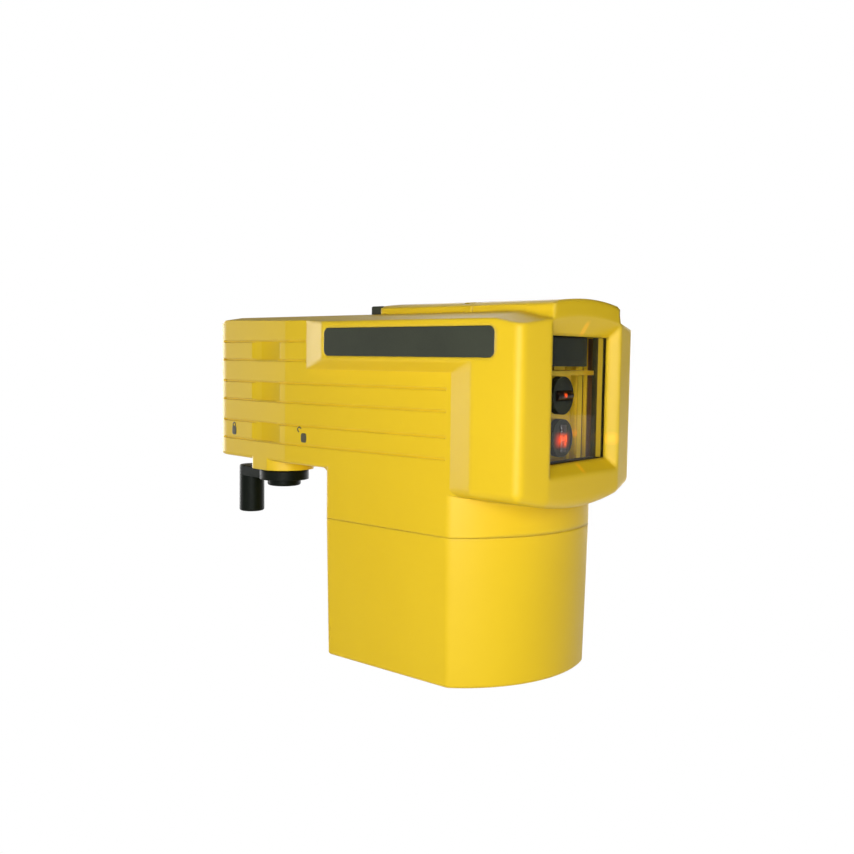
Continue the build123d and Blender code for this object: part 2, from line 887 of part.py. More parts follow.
with BuildPart() as board_parts:
    with Locations((board_mid, 0, board_top - board_t)):
        Box(chip_l, chip_l, chip_h, align=hanging)
    with Locations((board_mid - chip_l / 2 - chip_gap - can_r, 0, board_top - board_t)):
        Cylinder(can_r, can_h, align=hanging)
    with Locations((board_mid + chip_l / 2 + chip_gap + coil_l / 2, 0, board_top - board_t)):
        Box(coil_l, coil_l, coil_h, align=hanging)

board_parts.part.label = "board_parts"
export_step(board_parts.part, "parts/board_parts.step")

with BuildPart() as slide_switch:
    with Locations((knob_x, slot_y, board_top)):
        Box(
            stem_l + 2 * switch_rim,
            stem_w + knob_travel + 2 * joint_gap + switch_rim,
            switch_h,
            align=standing,
        )
    with Locations((knob_x, slot_y, board_top + switch_h)):
        Box(
            stem_l + 2 * slide_fit,
            stem_w + knob_travel + 2 * joint_gap,
            switch_depth,
            align=hanging,
            mode=Mode.SUBTRACT,
        )

slide_switch.part.label = "slide_switch"
export_step(slide_switch.part, "parts/slide_switch.step")

with BuildPart() as switch_knob:
    with Locations((knob_x, knob_on_y, roof_z + slide_fit)):
        Box(knob_l, knob_w, knob_h, align=standing)
    fillet(switch_knob.edges().group_by(Axis.Z)[-1], knob_rib)
    with GridLocations(0, knob_w / 6, 1, 5):
        with Locations((knob_x, knob_on_y, roof_z + slide_fit + knob_h)):
            Box(knob_l, knob_rib, 2 * knob_rib, mode=Mode.SUBTRACT)
    with Locations((knob_x, knob_on_y, roof_z + slide_fit)):
        stem_h = roof_z + slide_fit - board_top - switch_h + switch_depth - joint_gap
        Box(stem_l, stem_w, stem_h, align=hanging)

switch_knob.part.label = "switch_knob"
export_step(switch_knob.part, "parts/switch_knob.step")

# Heights inside the clamp
shoe_back = hub_reach - cam_r - cam_gap
shoe_front = sleeve_r + leaf_t + joint_gap
shoe_low = arm_floor + bush_flange_t + joint_gap
shoe_high = bridge_z - joint_gap
shoe_mid = cam_z + cam_h / 2
shoe_h = shoe_window_h - 2 * slide_fit
cheek_l = hub_reach - cheek_short
cam_rate = cam_lift / radians(lever_turn)


def cam_point(turn):
    # A point of the cam's edge, measured in degrees back from where it meets the shoe
    radius = cam_r - cam_rate * radians(turn)
    angle = radians(hub_angle + 180 - turn)
    return (hub_x + radius * cos(angle), hub_y + radius * sin(angle))


def key_plan(radius, gap):
    # Round plan with one flat, which a lever or cam can't turn on
    with BuildSketch(mode=Mode.PRIVATE) as plan:
        Circle(radius + gap)
        with Locations((radius - shaft_flat + gap, 0)):
            Rectangle(radius, 2 * radius + 2 * gap, align=ahead, mode=Mode.SUBTRACT)
    return plan.sketch


with BuildPart() as pole_guide:
    with BuildSketch(clamp_plane.offset(arm_floor)):
        Circle(sleeve_r)
    extrude(amount=ceiling_z - seat_gap - arm_floor)
    with BuildSketch(clamp_plane.offset(arm_floor)):
        Rectangle(cheek_l, 2 * (channel_half + cheek_t), align=ahead)
        Rectangle(cheek_l, 2 * channel_half, align=ahead, mode=Mode.SUBTRACT)
    extrude(amount=bridge_z - arm_floor)
    with BuildSketch(clamp_plane.offset(bridge_z)):
        Rectangle(hub_reach, 2 * (channel_half + cheek_t), align=ahead)
        with Locations((hub_reach, 0)):
            Circle(bridge_r)
    extrude(amount=bridge_t)
    with BuildSketch(clamp_plane.offset(arm_floor)):
        with Locations((0, -foot_y), (0, foot_y)):
            Circle(foot_r)
        Rectangle(2 * foot_r, 2 * foot_y)
    extrude(amount=foot_t)
    with BuildSketch(clamp_plane.offset(arm_floor)):
        Circle(guide_r)
        with Locations((0, -foot_y), (0, foot_y)):
            Circle(screw_way_r)
    extrude(amount=ceiling_z - arm_floor, mode=Mode.SUBTRACT)
    with BuildSketch(clamp_plane.offset(shoe_mid - shoe_window_h / 2)):
        Rectangle(cheek_l, 2 * channel_half, align=ahead)
    extrude(amount=shoe_window_h, mode=Mode.SUBTRACT)
    with Locations((hub_x, hub_y, bridge_z)):
        Cylinder(shaft_top_r + turn_fit, bridge_t, align=standing, mode=Mode.SUBTRACT)
    # Room for the flange of the lever's bushing
    with Locations((hub_x, hub_y, arm_floor)):
        Cylinder(
            bush_r + bush_flange_w + joint_gap,
            bush_flange_t + joint_gap,
            align=standing,
            mode=Mode.SUBTRACT,
        )

pole_guide.part.label = "pole_guide"
export_step(pole_guide.part, "parts/pole_guide.step")

foot_screw = pan_screw(foot_screw_l)
with BuildPart() as guide_screws:
    with Locations(*foot_spots):
        add(foot_screw)

guide_screws.part.label = "guide_screws"
export_step(guide_screws.part, "parts/guide_screws.step")

with BuildPart() as clamp_shoe:
    with BuildSketch(clamp_plane.offset(shoe_mid - shoe_h / 2)):
        Rectangle(shoe_back, shoe_w, align=ahead)
        Circle(guide_r + pad_t, mode=Mode.SUBTRACT)
    extrude(amount=shoe_h)
    with BuildSketch(clamp_plane.offset(shoe_low)):
        with Locations((shoe_front, 0)):
            Rectangle(shoe_back - shoe_front, shoe_w, align=ahead)
    extrude(amount=shoe_high - shoe_low)

clamp_shoe.part.label = "clamp_shoe"
export_step(clamp_shoe.part, "parts/clamp_shoe.step")

with BuildPart() as shoe_pad:
    with BuildSketch(clamp_plane.offset(shoe_mid - shoe_h / 2)):
        Rectangle(shoe_back, shoe_w, align=ahead)
        Circle(guide_r + pad_t, mode=Mode.INTERSECT)
        Circle(guide_r, mode=Mode.SUBTRACT)
    extrude(amount=shoe_h)

shoe_pad.part.label = "shoe_pad"
export_step(shoe_pad.part, "parts/shoe_pad.step")

with BuildPart() as shoe_springs:
    low_leaf = (shoe_low + shoe_mid - shoe_window_h / 2 - leaf_h) / 2
    high_leaf = (shoe_high + shoe_mid + shoe_window_h / 2 - leaf_h) / 2
    for leaf_z in (low_leaf, high_leaf):
        with BuildSketch(clamp_plane.offset(leaf_z)):
            Rectangle(shoe_front, shoe_w - 2 * leaf_in, align=ahead)
            Circle(sleeve_r + leaf_t + turn_fit, mode=Mode.INTERSECT)
            Circle(sleeve_r + turn_fit, mode=Mode.SUBTRACT)
        extrude(amount=leaf_h)

shoe_springs.part.label = "shoe_springs"
export_step(shoe_springs.part, "parts/shoe_springs.step")

with BuildPart() as clamp_cam:
    turns = [
        -cam_over + (lever_turn + 2 * cam_over) * step / (cam_steps - 1) for step in range(cam_steps)
    ]
    edge_points = [cam_point(turn) for turn in turns]
    back_turn = (turns[-1] + turns[0] + 360) / 2
    back_radius = (hypot(edge_points[0][0] - hub_x, edge_points[0][1] - hub_y) + cam_r - cam_lift) / 2
    back_angle = radians(hub_angle + 180 - back_turn)
    back_point = (hub_x + back_radius * cos(back_angle), hub_y + back_radius * sin(back_angle))
    with BuildSketch(Plane.XY.offset(cam_z)):
        with BuildLine():
            Spline(*edge_points)
            ThreePointArc(edge_points[-1], back_point, edge_points[0])
        make_face()
        with Locations((hub_x, hub_y)):
            add(key_plan(shaft_top_r, turn_fit), mode=Mode.SUBTRACT)
    extrude(amount=cam_h)

clamp_cam.part.label = "clamp_cam"
export_step(clamp_cam.part, "parts/clamp_cam.step")

with BuildPart() as clamp_shaft:
    with BuildSketch(Plane.XY.offset(lever_bottom + seat_gap)):
        with Locations((hub_x, hub_y)):
            add(key_plan(shaft_end_r, 0))
    extrude(amount=lever_t - seat_gap)
    with Locations((hub_x, hub_y, lever_top)):
        Cylinder(shaft_r, cam_z - lever_top, align=standing)
    with BuildSketch(Plane.XY.offset(cam_z)):
        with Locations((hub_x, hub_y)):
            add(key_plan(shaft_top_r, 0))
    extrude(amount=cam_h)
    with Locations((hub_x, hub_y, cam_z + cam_h)):
        Cylinder(shaft_top_r, bridge_z + bridge_t - cam_z - cam_h, align=standing)
    with Locations((hub_x, hub_y, lever_bottom + seat_gap)):
        Cylinder(lever_screw_r + turn_fit, lever_screw_l, align=standing, mode=Mode.SUBTRACT)

clamp_shaft.part.label = "clamp_shaft"
export_step(clamp_shaft.part, "parts/clamp_shaft.step")

with BuildPart() as retaining_ring:
    with BuildSketch(Plane.XY.offset(cam_z + cam_h + seat_gap)):
        with Locations((hub_x, hub_y)):
            Circle(shaft_top_r + ring_w)
            Circle(shaft_top_r + turn_fit, mode=Mode.SUBTRACT)
    extrude(amount=ring_t)

retaining_ring.part.label = "retaining_ring"
export_step(retaining_ring.part, "parts/retaining_ring.step")

with BuildPart() as lever_bushing:
    with Locations((hub_x, hub_y, boss_bottom)):
        Cylinder(bush_r, arm_floor - boss_bottom, align=standing)
    with Locations((hub_x, hub_y, arm_floor)):
        Cylinder(bush_r + bush_flange_w, bush_flange_t, align=standing)
    with Locations((hub_x, hub_y, boss_bottom)):
        Cylinder(
            shaft_r + turn_fit, arm_floor + bush_flange_t - boss_bottom, align=standing, mode=Mode.SUBTRACT
        )

lever_bushing.part.label = "lever_bushing"
export_step(lever_bushing.part, "parts/lever_bushing.step")

with BuildPart() as clamp_lever:
    with BuildSketch(Plane.XY.offset(lever_bottom)):
        with Locations((hub_x, hub_y)):
            Circle(lever_waist_r)
        with Locations((hub_x - lever_l, hub_y)):
            Circle(peg_r)
        make_hull()
    extrude(amount=lever_t)
    with Locations((hub_x, hub_y, lever_bottom)):
        Cylinder(hub_r, lever_t, align=standing)
    with Locations((hub_x - lever_l, hub_y, lever_bottom)):
        Cylinder(peg_r, peg_h, align=hanging)
    fillet(clamp_lever.edges().group_by(Axis.Z)[0], lever_edge_r)
    fillet(clamp_lever.edges().group_by(Axis.Z)[-1], lever_edge_r)
    with BuildSketch(Plane.XY.offset(lever_bottom)):
        with Locations((hub_x, hub_y)):
            add(key_plan(shaft_end_r, turn_fit))
    extrude(amount=lever_t, mode=Mode.SUBTRACT)

clamp_lever.part.label = "clamp_lever"
export_step(clamp_lever.part, "parts/clamp_lever.step")

with BuildPart() as hub_cap:
    with Locations((hub_x, hub_y, lever_bottom)):
        Cylinder(cap_r, cap_h, align=hanging)
    fillet(hub_cap.edges().group_by(Axis.Z)[0], lever_edge_r)
    with Locations((hub_x, hub_y, lever_bottom)):
        Cylinder(cap_r - cap_rim, cap_h - cap_floor, align=hanging, mode=Mode.SUBTRACT)

hub_cap.part.label = "hub_cap"
export_step(hub_cap.part, "parts/hub_cap.step")

with BuildPart() as lever_screw:
    with Locations((hub_x, hub_y, lever_bottom)):
        Cylinder(lever_screw_head_r, lever_screw_head_h, align=hanging)
        Cylinder(lever_screw_r, lever_screw_l, align=standing)
    with Locations((hub_x, hub_y, lever_bottom - lever_screw_head_h)):
        Box(cross_l, cross_w, cross_d, align=standing, mode=Mode.SUBTRACT)
        Box(cross_w, cross_l, cross_d, align=standing, mode=Mode.SUBTRACT)

lever_screw.part.label = "lever_screw"
export_step(lever_screw.part, "parts/lever_screw.step")

# Places on the pendulum
plate_top = gimbal_z - plate_drop
plate_bottom = plate_top - plate_t
spine_rear = gimbal_x + spine_ahead - spine_l / 2
spine_front = spine_rear + spine_l
module_rear = spine_front - module_l
rod_x = spine_front + holder_l + rod_out - rod_r
ear_in = yoke_l / 2 + ear_gap
disc_x = gimbal_x - disc_back
disc_bottom = base_top + keeper_t + magnet_h + disc_gap
spine_bottom = disc_bottom + disc_t
trim_z = spine_bottom + trim_up
magnet_x = gimbal_x - magnet_back
bearing_in = hanger_l / 2 + hanger_r - hanger_wall

with BuildPart() as pendulum_hanger:
    with BuildSketch(Plane.XY.offset(hanger_bottom)):
        with Locations((gimbal_x, 0)):
            SlotCenterToCenter(hanger_l, 2 * hanger_r, rotation=90)
    extrude(amount=hanger_top - hanger_bottom)
    with Locations((lug_x, 0, hanger_top)):
        Box(lug_l, 2 * (lug_y + lug_r), lug_t, align=standing)
    with BuildSketch(Plane.XY.offset(hanger_bottom)):
        with Locations((gimbal_x, 0)):
            SlotCenterToCenter(hanger_l, 2 * (hanger_r - hanger_wall), rotation=90)
    extrude(amount=hanger_top - hanger_bottom - hanger_roof, mode=Mode.SUBTRACT)
    with BuildSketch(Plane.XZ):
        with Locations((gimbal_x, gimbal_z)):
            Circle(bearing_r + turn_fit)
    extrude(amount=bearing_in + 2 * hanger_wall, both=True, mode=Mode.SUBTRACT)
    with BuildSketch(Plane.XY.offset(hanger_top)):
        with Locations((lug_x, -lug_y), (lug_x, lug_y)):
            Circle(screw_way_r)
    extrude(amount=lug_t, mode=Mode.SUBTRACT)

pendulum_hanger.part.label = "pendulum_hanger"
export_step(pendulum_hanger.part, "parts/pendulum_hanger.step")

hanger_screw = pan_screw(hanger_screw_l - seat_gap)
with BuildPart() as hanger_screws:
    with Locations(*[Location((lug_x, side * lug_y, hanger_top), (180, 0, 0)) for side in (-1, 1)]):
        add(hanger_screw)

hanger_screws.part.label = "hanger_screws"
export_step(hanger_screws.part, "parts/hanger_screws.step")

with BuildPart() as pitch_bearings:
    for side in (-1, 1):
        with BuildSketch(Plane.XZ.offset(-side * bearing_in)):
            with Locations((gimbal_x, gimbal_z)):
                Circle(bearing_r)
                Circle(pin_r + turn_fit, mode=Mode.SUBTRACT)
        extrude(amount=-side * hanger_wall)

pitch_bearings.part.label = "pitch_bearings"
export_step(pitch_bearings.part, "parts/pitch_bearings.step")

with BuildPart() as gimbal_yoke:
    with Locations((gimbal_x, 0, gimbal_z)):
        Box(yoke_l, yoke_w, yoke_h)
        Cylinder(bar_r, 2 * (bearing_in - joint_gap), rotation=(90, 0, 0))
        Cylinder(pin_r, 2 * (bearing_in + hanger_wall), rotation=(90, 0, 0))
        Cylinder(pin_r, 2 * (ear_in + ear_t), rotation=(0, 90, 0))

gimbal_yoke.part.label = "gimbal_yoke"
export_step(gimbal_yoke.part, "parts/gimbal_yoke.step")

with BuildPart() as roll_bushings:
    for side in (-1, 1):
        with BuildSketch(Plane.YZ.offset(gimbal_x + side * ear_in)):
            with Locations((0, gimbal_z)):
                Circle(roll_bush_r)
                Circle(pin_r + turn_fit, mode=Mode.SUBTRACT)
        extrude(amount=side * ear_t)

roll_bushings.part.label = "roll_bushings"
export_step(roll_bushings.part, "parts/roll_bushings.step")

with BuildPart() as pendulum_frame:
    with Locations((gimbal_x - plate_back, 0, plate_bottom)):
        Box(plate_back + plate_front, plate_w, plate_t, align=forward_up)
    for side in (-1, 1):
        with Locations((gimbal_x + side * (ear_in + ear_t / 2), 0, plate_top)):
            Box(ear_t, ear_w, plate_drop + ear_top, align=standing)
    with Locations((spine_rear, 0, spine_bottom)):
        Box(spine_l, spine_w, plate_bottom - spine_bottom, align=forward_up)
    with Locations((spine_front - spine_step, 0, spine_bottom)):
        Box(spine_step, spine_w, spine_step_h, align=forward_up, mode=Mode.SUBTRACT)
    with BuildSketch(Plane.YZ.offset(gimbal_x)):
        with Locations((0, gimbal_z)):
            Circle(roll_bush_r + turn_fit)
    extrude(amount=ear_in + ear_t, both=True, mode=Mode.SUBTRACT)
    with BuildSketch(Plane.YZ.offset(spine_rear)):
        with Locations((0, upper_z), (0, lower_z)):
            Circle(module_r + turn_fit)
    extrude(amount=spine_l, mode=Mode.SUBTRACT)
    with BuildSketch(Plane.XZ):
        with Locations((gimbal_x + spine_ahead, trim_z)):
            Circle(trim_r + turn_fit)
    extrude(amount=spine_w, both=True, mode=Mode.SUBTRACT)
    with Locations((spine_rear + spine_l / 4, 0, spine_bottom)):
        Cylinder(screw_hole_r, disc_screw_l - disc_t, align=standing, mode=Mode.SUBTRACT)

pendulum_frame.part.label = "pendulum_frame"
export_step(pendulum_frame.part, "parts/pendulum_frame.step")

with BuildPart() as laser_module_upper:
    with BuildSketch(Plane.YZ.offset(module_rear)):
        with Locations((0, upper_z)):
            Circle(module_r)
    extrude(amount=module_l)
    chamfer(laser_module_upper.edges().group_by(Axis.X)[0], module_r / 8)

laser_module_upper.part.label = "laser_module_upper"
export_step(laser_module_upper.part, "parts/laser_module_upper.step")

with BuildPart() as laser_module_lower:
    with BuildSketch(Plane.YZ.offset(module_rear)):
        with Locations((0, lower_z)):
            Circle(module_r)
    extrude(amount=module_l)
    chamfer(laser_module_lower.edges().group_by(Axis.X)[0], module_r / 8)

laser_module_lower.part.label = "laser_module_lower"
export_step(laser_module_lower.part, "parts/laser_module_lower.step")

with BuildPart() as lens_holders:
    with BuildSketch(Plane.YZ.offset(spine_front)):
        with Locations((0, upper_z), (0, lower_z)):
            Circle(holder_r)
    extrude(amount=holder_l)
    with Locations((rod_x, 0, upper_z)):
        Cylinder(rod_r + rod_fit, rod_l + 2 * rod_fit, rotation=(90, 0, 0), mode=Mode.SUBTRACT)
    with Locations((rod_x, 0, lower_z)):
        Cylinder(rod_r + rod_fit, rod_l + 2 * rod_fit, mode=Mode.SUBTRACT)

lens_holders.part.label = "lens_holders"
export_step(lens_holders.part, "parts/lens_holders.step")

with BuildPart() as rod_lens_upper:
    with Locations((rod_x, 0, upper_z)):
        Cylinder(rod_r, rod_l, rotation=(90, 0, 0))

rod_lens_upper.part.label = "rod_lens_upper"
export_step(rod_lens_upper.part, "parts/rod_lens_upper.step")

with BuildPart() as rod_lens_lower:
    with Locations((rod_x, 0, lower_z)):
        Cylinder(rod_r, rod_l)

rod_lens_lower.part.label = "rod_lens_lower"
export_step(rod_lens_lower.part, "parts/rod_lens_lower.step")

with BuildPart() as damping_disc:
    with Locations((disc_x, 0, disc_bottom)):
        Cylinder(disc_r, disc_t, align=standing)
    with Locations((spine_rear + spine_l / 4, 0, disc_bottom)):
        Cylinder(screw_way_r, disc_t, align=standing, mode=Mode.SUBTRACT)

damping_disc.part.label = "damping_disc"
export_step(damping_disc.part, "parts/damping_disc.step")

disc_screw_form = pan_screw(disc_screw_l - seat_gap)
with BuildPart() as disc_screw:
    with Locations(Location((spine_rear + spine_l / 4, 0, disc_bottom), (180, 0, 0))):
        add(disc_screw_form)

disc_screw.part.label = "disc_screw"
export_step(disc_screw.part, "parts/disc_screw.step")

with BuildPart() as balance_screws:
    for side in (-1, 1):
        with BuildSketch(Plane.XZ.offset(-side * (spine_w / 2 - trim_in))):
            with Locations((gimbal_x + spine_ahead, trim_z)):
                Circle(trim_r)
        extrude(amount=-side * trim_l)

balance_screws.part.label = "balance_screws"
export_step(balance_screws.part, "parts/balance_screws.step")

with BuildPart() as magnet_keeper:
    with Locations((magnet_x, 0, base_top)):
        Cylinder(keeper_r, keeper_t, align=standing)

magnet_keeper.part.label = "magnet_keeper"
export_step(magnet_keeper.part, "parts/magnet_keeper.step")

with BuildPart() as damping_magnets:
    with Locations((magnet_x, 0, base_top + keeper_t)):
        with PolarLocations(magnet_ring, 3, start_angle=180):
            Cylinder(magnet_r, magnet_h, align=standing)

damping_magnets.part.label = "damping_magnets"
export_step(damping_magnets.part, "parts/damping_magnets.step")

# Places of the cells and the catch
cell_low = wall + contact_t
lip_in = wall + lip_fit
lip_top = cup_top + lip_h
latch_x = body_rear + latch_from
holder_rear = latch_x + latch_t + latch_travel + latch_stop
cell_x = holder_rear + well_wall + cell_fit + cell_r
cell_pitch = 2 * (cell_r + cell_fit) + well_web
cell_spots = [(cell_x, step * cell_pitch) for step in (-1, 0, 1)]
notch_half = latch_w / 2 + joint_gap
holder_front = cell_x + cell_r + cell_fit + well_wall
cup_floor_in = wall + (cup_top - wall) * tan(radians(cup_draft))
holder_half = body_w / 2 - cup_floor_in - holder_gap
button_x = body_rear + (split_z - button_z - button_h / 2) * sin(radians(cup_draft)) - button_out

with BuildPart() as base_plate:
    with BuildSketch(Plane.XY.offset(base_z)):
        add(body_plan(wall + plate_fit))
        with Locations(*post_spots):
            Circle(screw_way_r, mode=Mode.SUBTRACT)
    extrude(amount=base_t)
    with BuildSketch(Plane.XY.offset(base_z)):
        with Locations(*post_spots):
            Circle(screw_sink_r)
    extrude(amount=screw_head_h, mode=Mode.SUBTRACT)

base_plate.part.label = "base_plate"
export_step(base_plate.part, "parts/base_plate.step")

base_screw = pan_screw(base_t - screw_head_h + base_screw_l - seat_gap)
with BuildPart() as base_plate_screws:
    with Locations(*[Location((x, y, base_z + screw_head_h), (180, 0, 0)) for x, y in post_spots]):
        add(base_screw)

base_plate_screws.part.label = "base_plate_screws"
export_step(base_plate_screws.part, "parts/base_plate_screws.step")

with BuildPart() as upper_contacts:
    with Locations((cell_x, -cell_pitch, base_z)):
        Box(contact_w, contact_l, top_contact_t, align=hanging)
    with Locations((cell_x, cell_pitch / 2, base_z)):
        Box(contact_w, cell_pitch + contact_l, top_contact_t, align=hanging)

upper_contacts.part.label = "upper_contacts"
export_step(upper_contacts.part, "parts/upper_contacts.step")

with BuildPart() as battery_cup:
    with BuildSketch(Plane.XY.offset(cup_top)):
        add(body_plan(0))
    extrude(amount=cup_top, dir=(0, 0, -1), taper=cup_draft)
    fillet(battery_cup.edges().group_by(Axis.Z)[0], cup_edge_r)
    with BuildSketch(Plane.XY.offset(cup_top)):
        add(body_plan(wall))
    extrude(amount=cup_top - wall, dir=(0, 0, -1), taper=cup_draft, mode=Mode.SUBTRACT)
    # Rim inside the mouth, and the lip that goes up into the shell
    with BuildSketch(Plane.XY.offset(cup_top - rim_h)):
        add(body_plan(wall / 2))
        add(body_plan(lip_in + lip_w), mode=Mode.SUBTRACT)
    extrude(amount=rim_h)
    with BuildSketch(Plane.XY.offset(cup_top)):
        add(body_plan(lip_in))
        add(body_plan(lip_in + lip_w), mode=Mode.SUBTRACT)
    extrude(amount=lip_h)
    # Notch in the lip and window in the rear wall for the catch
    with Locations((body_rear + wall, 0, cup_top - rim_h)):
        Box(latch_from + latch_t, 2 * notch_half, rim_h + lip_h, align=forward_up, mode=Mode.SUBTRACT)
    with Locations((body_rear, 0, button_z - joint_gap)):
        Box(3 * wall, 2 * notch_half, button_h + 2 * joint_gap, align=standing, mode=Mode.SUBTRACT)

battery_cup.part.label = "battery_cup"
export_step(battery_cup.part, "parts/battery_cup.step")

with BuildPart() as cup_latch:
    with Locations((latch_x, 0, latch_low)):
        Box(latch_t, latch_w, lip_top - latch_low, align=forward_up)
    with Locations((button_x, 0, button_z)):
        Box(latch_x - button_x, latch_w, button_h, align=forward_up)
    with Locations((latch_x, 0, lip_top)):
        Box(hook_reach, latch_w, hook_h, align=(Align.MAX, Align.CENTER, Align.MAX))
    fillet(cup_latch.edges().group_by(Axis.X)[0], button_out)

cup_latch.part.label = "cup_latch"
export_step(cup_latch.part, "parts/cup_latch.step")

with BuildPart() as latch_spring:
    with BuildSketch(Plane.XY.offset(button_z + (button_h - spring_h) / 2)):
        with BuildLine():
            bow = ThreePointArc(
                (holder_rear - seat_gap - spring_t / 2, -spring_w / 2),
                (latch_x + latch_t + seat_gap + spring_t / 2, 0),
                (holder_rear - seat_gap - spring_t / 2, spring_w / 2),
            )
            offset(bow, amount=spring_t / 2, side=Side.BOTH)
        make_face()
    extrude(amount=spring_h)

latch_spring.part.label = "latch_spring"
export_step(latch_spring.part, "parts/latch_spring.step")

with BuildPart() as cell_holder:
    with BuildSketch(Plane.XY.offset(wall)):
        with Locations(((holder_rear + holder_front) / 2, 0)):
            Rectangle(holder_front - holder_rear, 2 * holder_half)
        with Locations(*cell_spots):
            Circle(cell_r + cell_fit, mode=Mode.SUBTRACT)
    extrude(amount=well_h)
    with Locations((cell_x, 0, wall)):
        Box(
            contact_w + 2 * cell_fit,
            2 * cell_pitch + contact_l + 2 * cell_fit,
            contact_t + cell_fit,
            align=standing,
            mode=Mode.SUBTRACT,
        )

cell_holder.part.label = "cell_holder"
export_step(cell_holder.part, "parts/cell_holder.step")

with BuildPart() as lower_contacts:
    with Locations((cell_x, -cell_pitch / 2, wall)):
        Box(contact_w, cell_pitch + contact_l, contact_t, align=standing)
    with Locations((cell_x, cell_pitch, wall)):
        Box(contact_w, contact_l, contact_t, align=standing)

lower_contacts.part.label = "lower_contacts"
export_step(lower_contacts.part, "parts/lower_contacts.step")

with BuildPart() as cell:
    Cylinder(cell_r, cell_l - cell_nub_h, align=standing)
    fillet(cell.edges(), cell_edge_r)
    with Locations((0, 0, cell_l)):
        Cylinder(cell_nub_r, cell_nub_h + cell_edge_r, align=hanging)

for number, spot in enumerate(cell_spots, start=1):
    # The middle cell stands the other way up
    flipped = number == 2
    place = Location((*spot, cell_low + (cell_l if flipped else 0)), (180 if flipped else 0, 0, 0))
    with BuildPart() as battery_cell:
        with Locations(place):
            add(cell.part)
    battery_cell.part.label = f"battery_cell_{number}"
    export_step(battery_cell.part, f"parts/battery_cell_{number}.step")
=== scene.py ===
import json
import bmesh
import bpy
import numpy as np
from mathutils import Matrix, Vector


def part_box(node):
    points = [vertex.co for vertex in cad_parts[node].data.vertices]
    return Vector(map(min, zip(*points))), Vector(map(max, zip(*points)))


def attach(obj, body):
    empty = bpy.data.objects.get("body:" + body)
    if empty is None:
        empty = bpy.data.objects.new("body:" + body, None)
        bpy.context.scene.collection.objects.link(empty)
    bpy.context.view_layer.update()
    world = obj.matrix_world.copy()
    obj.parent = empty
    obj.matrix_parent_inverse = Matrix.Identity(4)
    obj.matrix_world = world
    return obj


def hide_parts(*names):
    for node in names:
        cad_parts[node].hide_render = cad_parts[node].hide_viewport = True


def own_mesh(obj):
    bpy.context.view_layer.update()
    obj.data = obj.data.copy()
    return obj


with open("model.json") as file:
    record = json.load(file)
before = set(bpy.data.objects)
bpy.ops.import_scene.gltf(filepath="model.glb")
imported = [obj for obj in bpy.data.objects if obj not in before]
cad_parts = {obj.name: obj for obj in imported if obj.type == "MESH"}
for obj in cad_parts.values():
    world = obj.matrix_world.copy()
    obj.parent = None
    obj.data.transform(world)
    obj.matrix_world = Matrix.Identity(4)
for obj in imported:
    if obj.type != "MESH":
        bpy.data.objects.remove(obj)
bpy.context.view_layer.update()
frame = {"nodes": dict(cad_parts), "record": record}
nodes = frame["nodes"]
mm = 0.001
# noise mostly lies in this range, so patterns are stretched over it
noiseRange = (0.3, 0.7)
print("frame loaded,", len(nodes), "nodes")


def linear(hexColour):
    # sRGB hex digits to the linear colour that shaders take
    parts = [int(hexColour[i:i + 2], 16) / 255 for i in (0, 2, 4)]
    return [c / 12.92 if c <= 0.04045 else ((c + 0.055) / 1.055) ** 2.4 for c in parts] + [1.0]


def addNode(tree, kind, inputs=None, **settings):
    # one node: settings are its own properties, inputs are plain values or the sockets that feed it
    node = tree.nodes.new(kind)
    for name, value in settings.items():
        setattr(node, name, value)
    for name, value in (inputs or {}).items():
        if isinstance(value, bpy.types.NodeSocket):
            tree.links.new(value, node.inputs[name])
        else:
            node.inputs[name].default_value = value
    return node


def startFinish(name, shader):
    # a new material with one Principled shader, and the Object coordinates that its patterns read
    finish = bpy.data.materials.new(name)
    finish.use_nodes = True
    tree = finish.node_tree
    tree.nodes.clear()
    skin = addNode(tree, "ShaderNodeBsdfPrincipled", shader)
    addNode(tree, "ShaderNodeOutputMaterial", {"Surface": skin.outputs["BSDF"]})
    where = addNode(tree, "ShaderNodeTexCoord").outputs["Object"]
    return finish, tree, skin, where


def mottle(tree, where, hexA, hexB, size):
    # two tones of one colour, blended by noise whose blotches are this many mm across
    noise = addNode(tree, "ShaderNodeTexNoise",
                    {"Vector": where, "Scale": 1 / (size * mm), "Detail": 3.0}).outputs["Fac"]
    share = addNode(tree, "ShaderNodeMapRange",
                    {"Value": noise, "From Min": noiseRange[0], "From Max": noiseRange[1]}).outputs["Result"]
    tone = addNode(tree, "ShaderNodeMix", {"Factor": share, 6: linear(hexA), 7: linear(hexB)},
                   data_type="RGBA")
    return tone.outputs[2]


def wornEdges(tree, radius, wear):
    # the normal of edges rounded by a radius in mm, and a mask of their wear: it is full where the rounded
    # and the flat normal part by the first cosine, and none where they part by the second
    cosines = (0.8, 0.99)
    soft = addNode(tree, "ShaderNodeBevel", {"Radius": radius * mm}, samples=6).outputs["Normal"]
    flat = addNode(tree, "ShaderNodeNewGeometry").outputs["Normal"]
    turn = addNode(tree, "ShaderNodeVectorMath", {0: soft, 1: flat},
                   operation="DOT_PRODUCT").outputs["Value"]
    rub = addNode(tree, "ShaderNodeMapRange",
                  {"Value": turn, "From Min": cosines[0], "From Max": cosines[1],
                   "To Min": wear, "To Max": 0.0}).outputs["Result"]
    return soft, rub


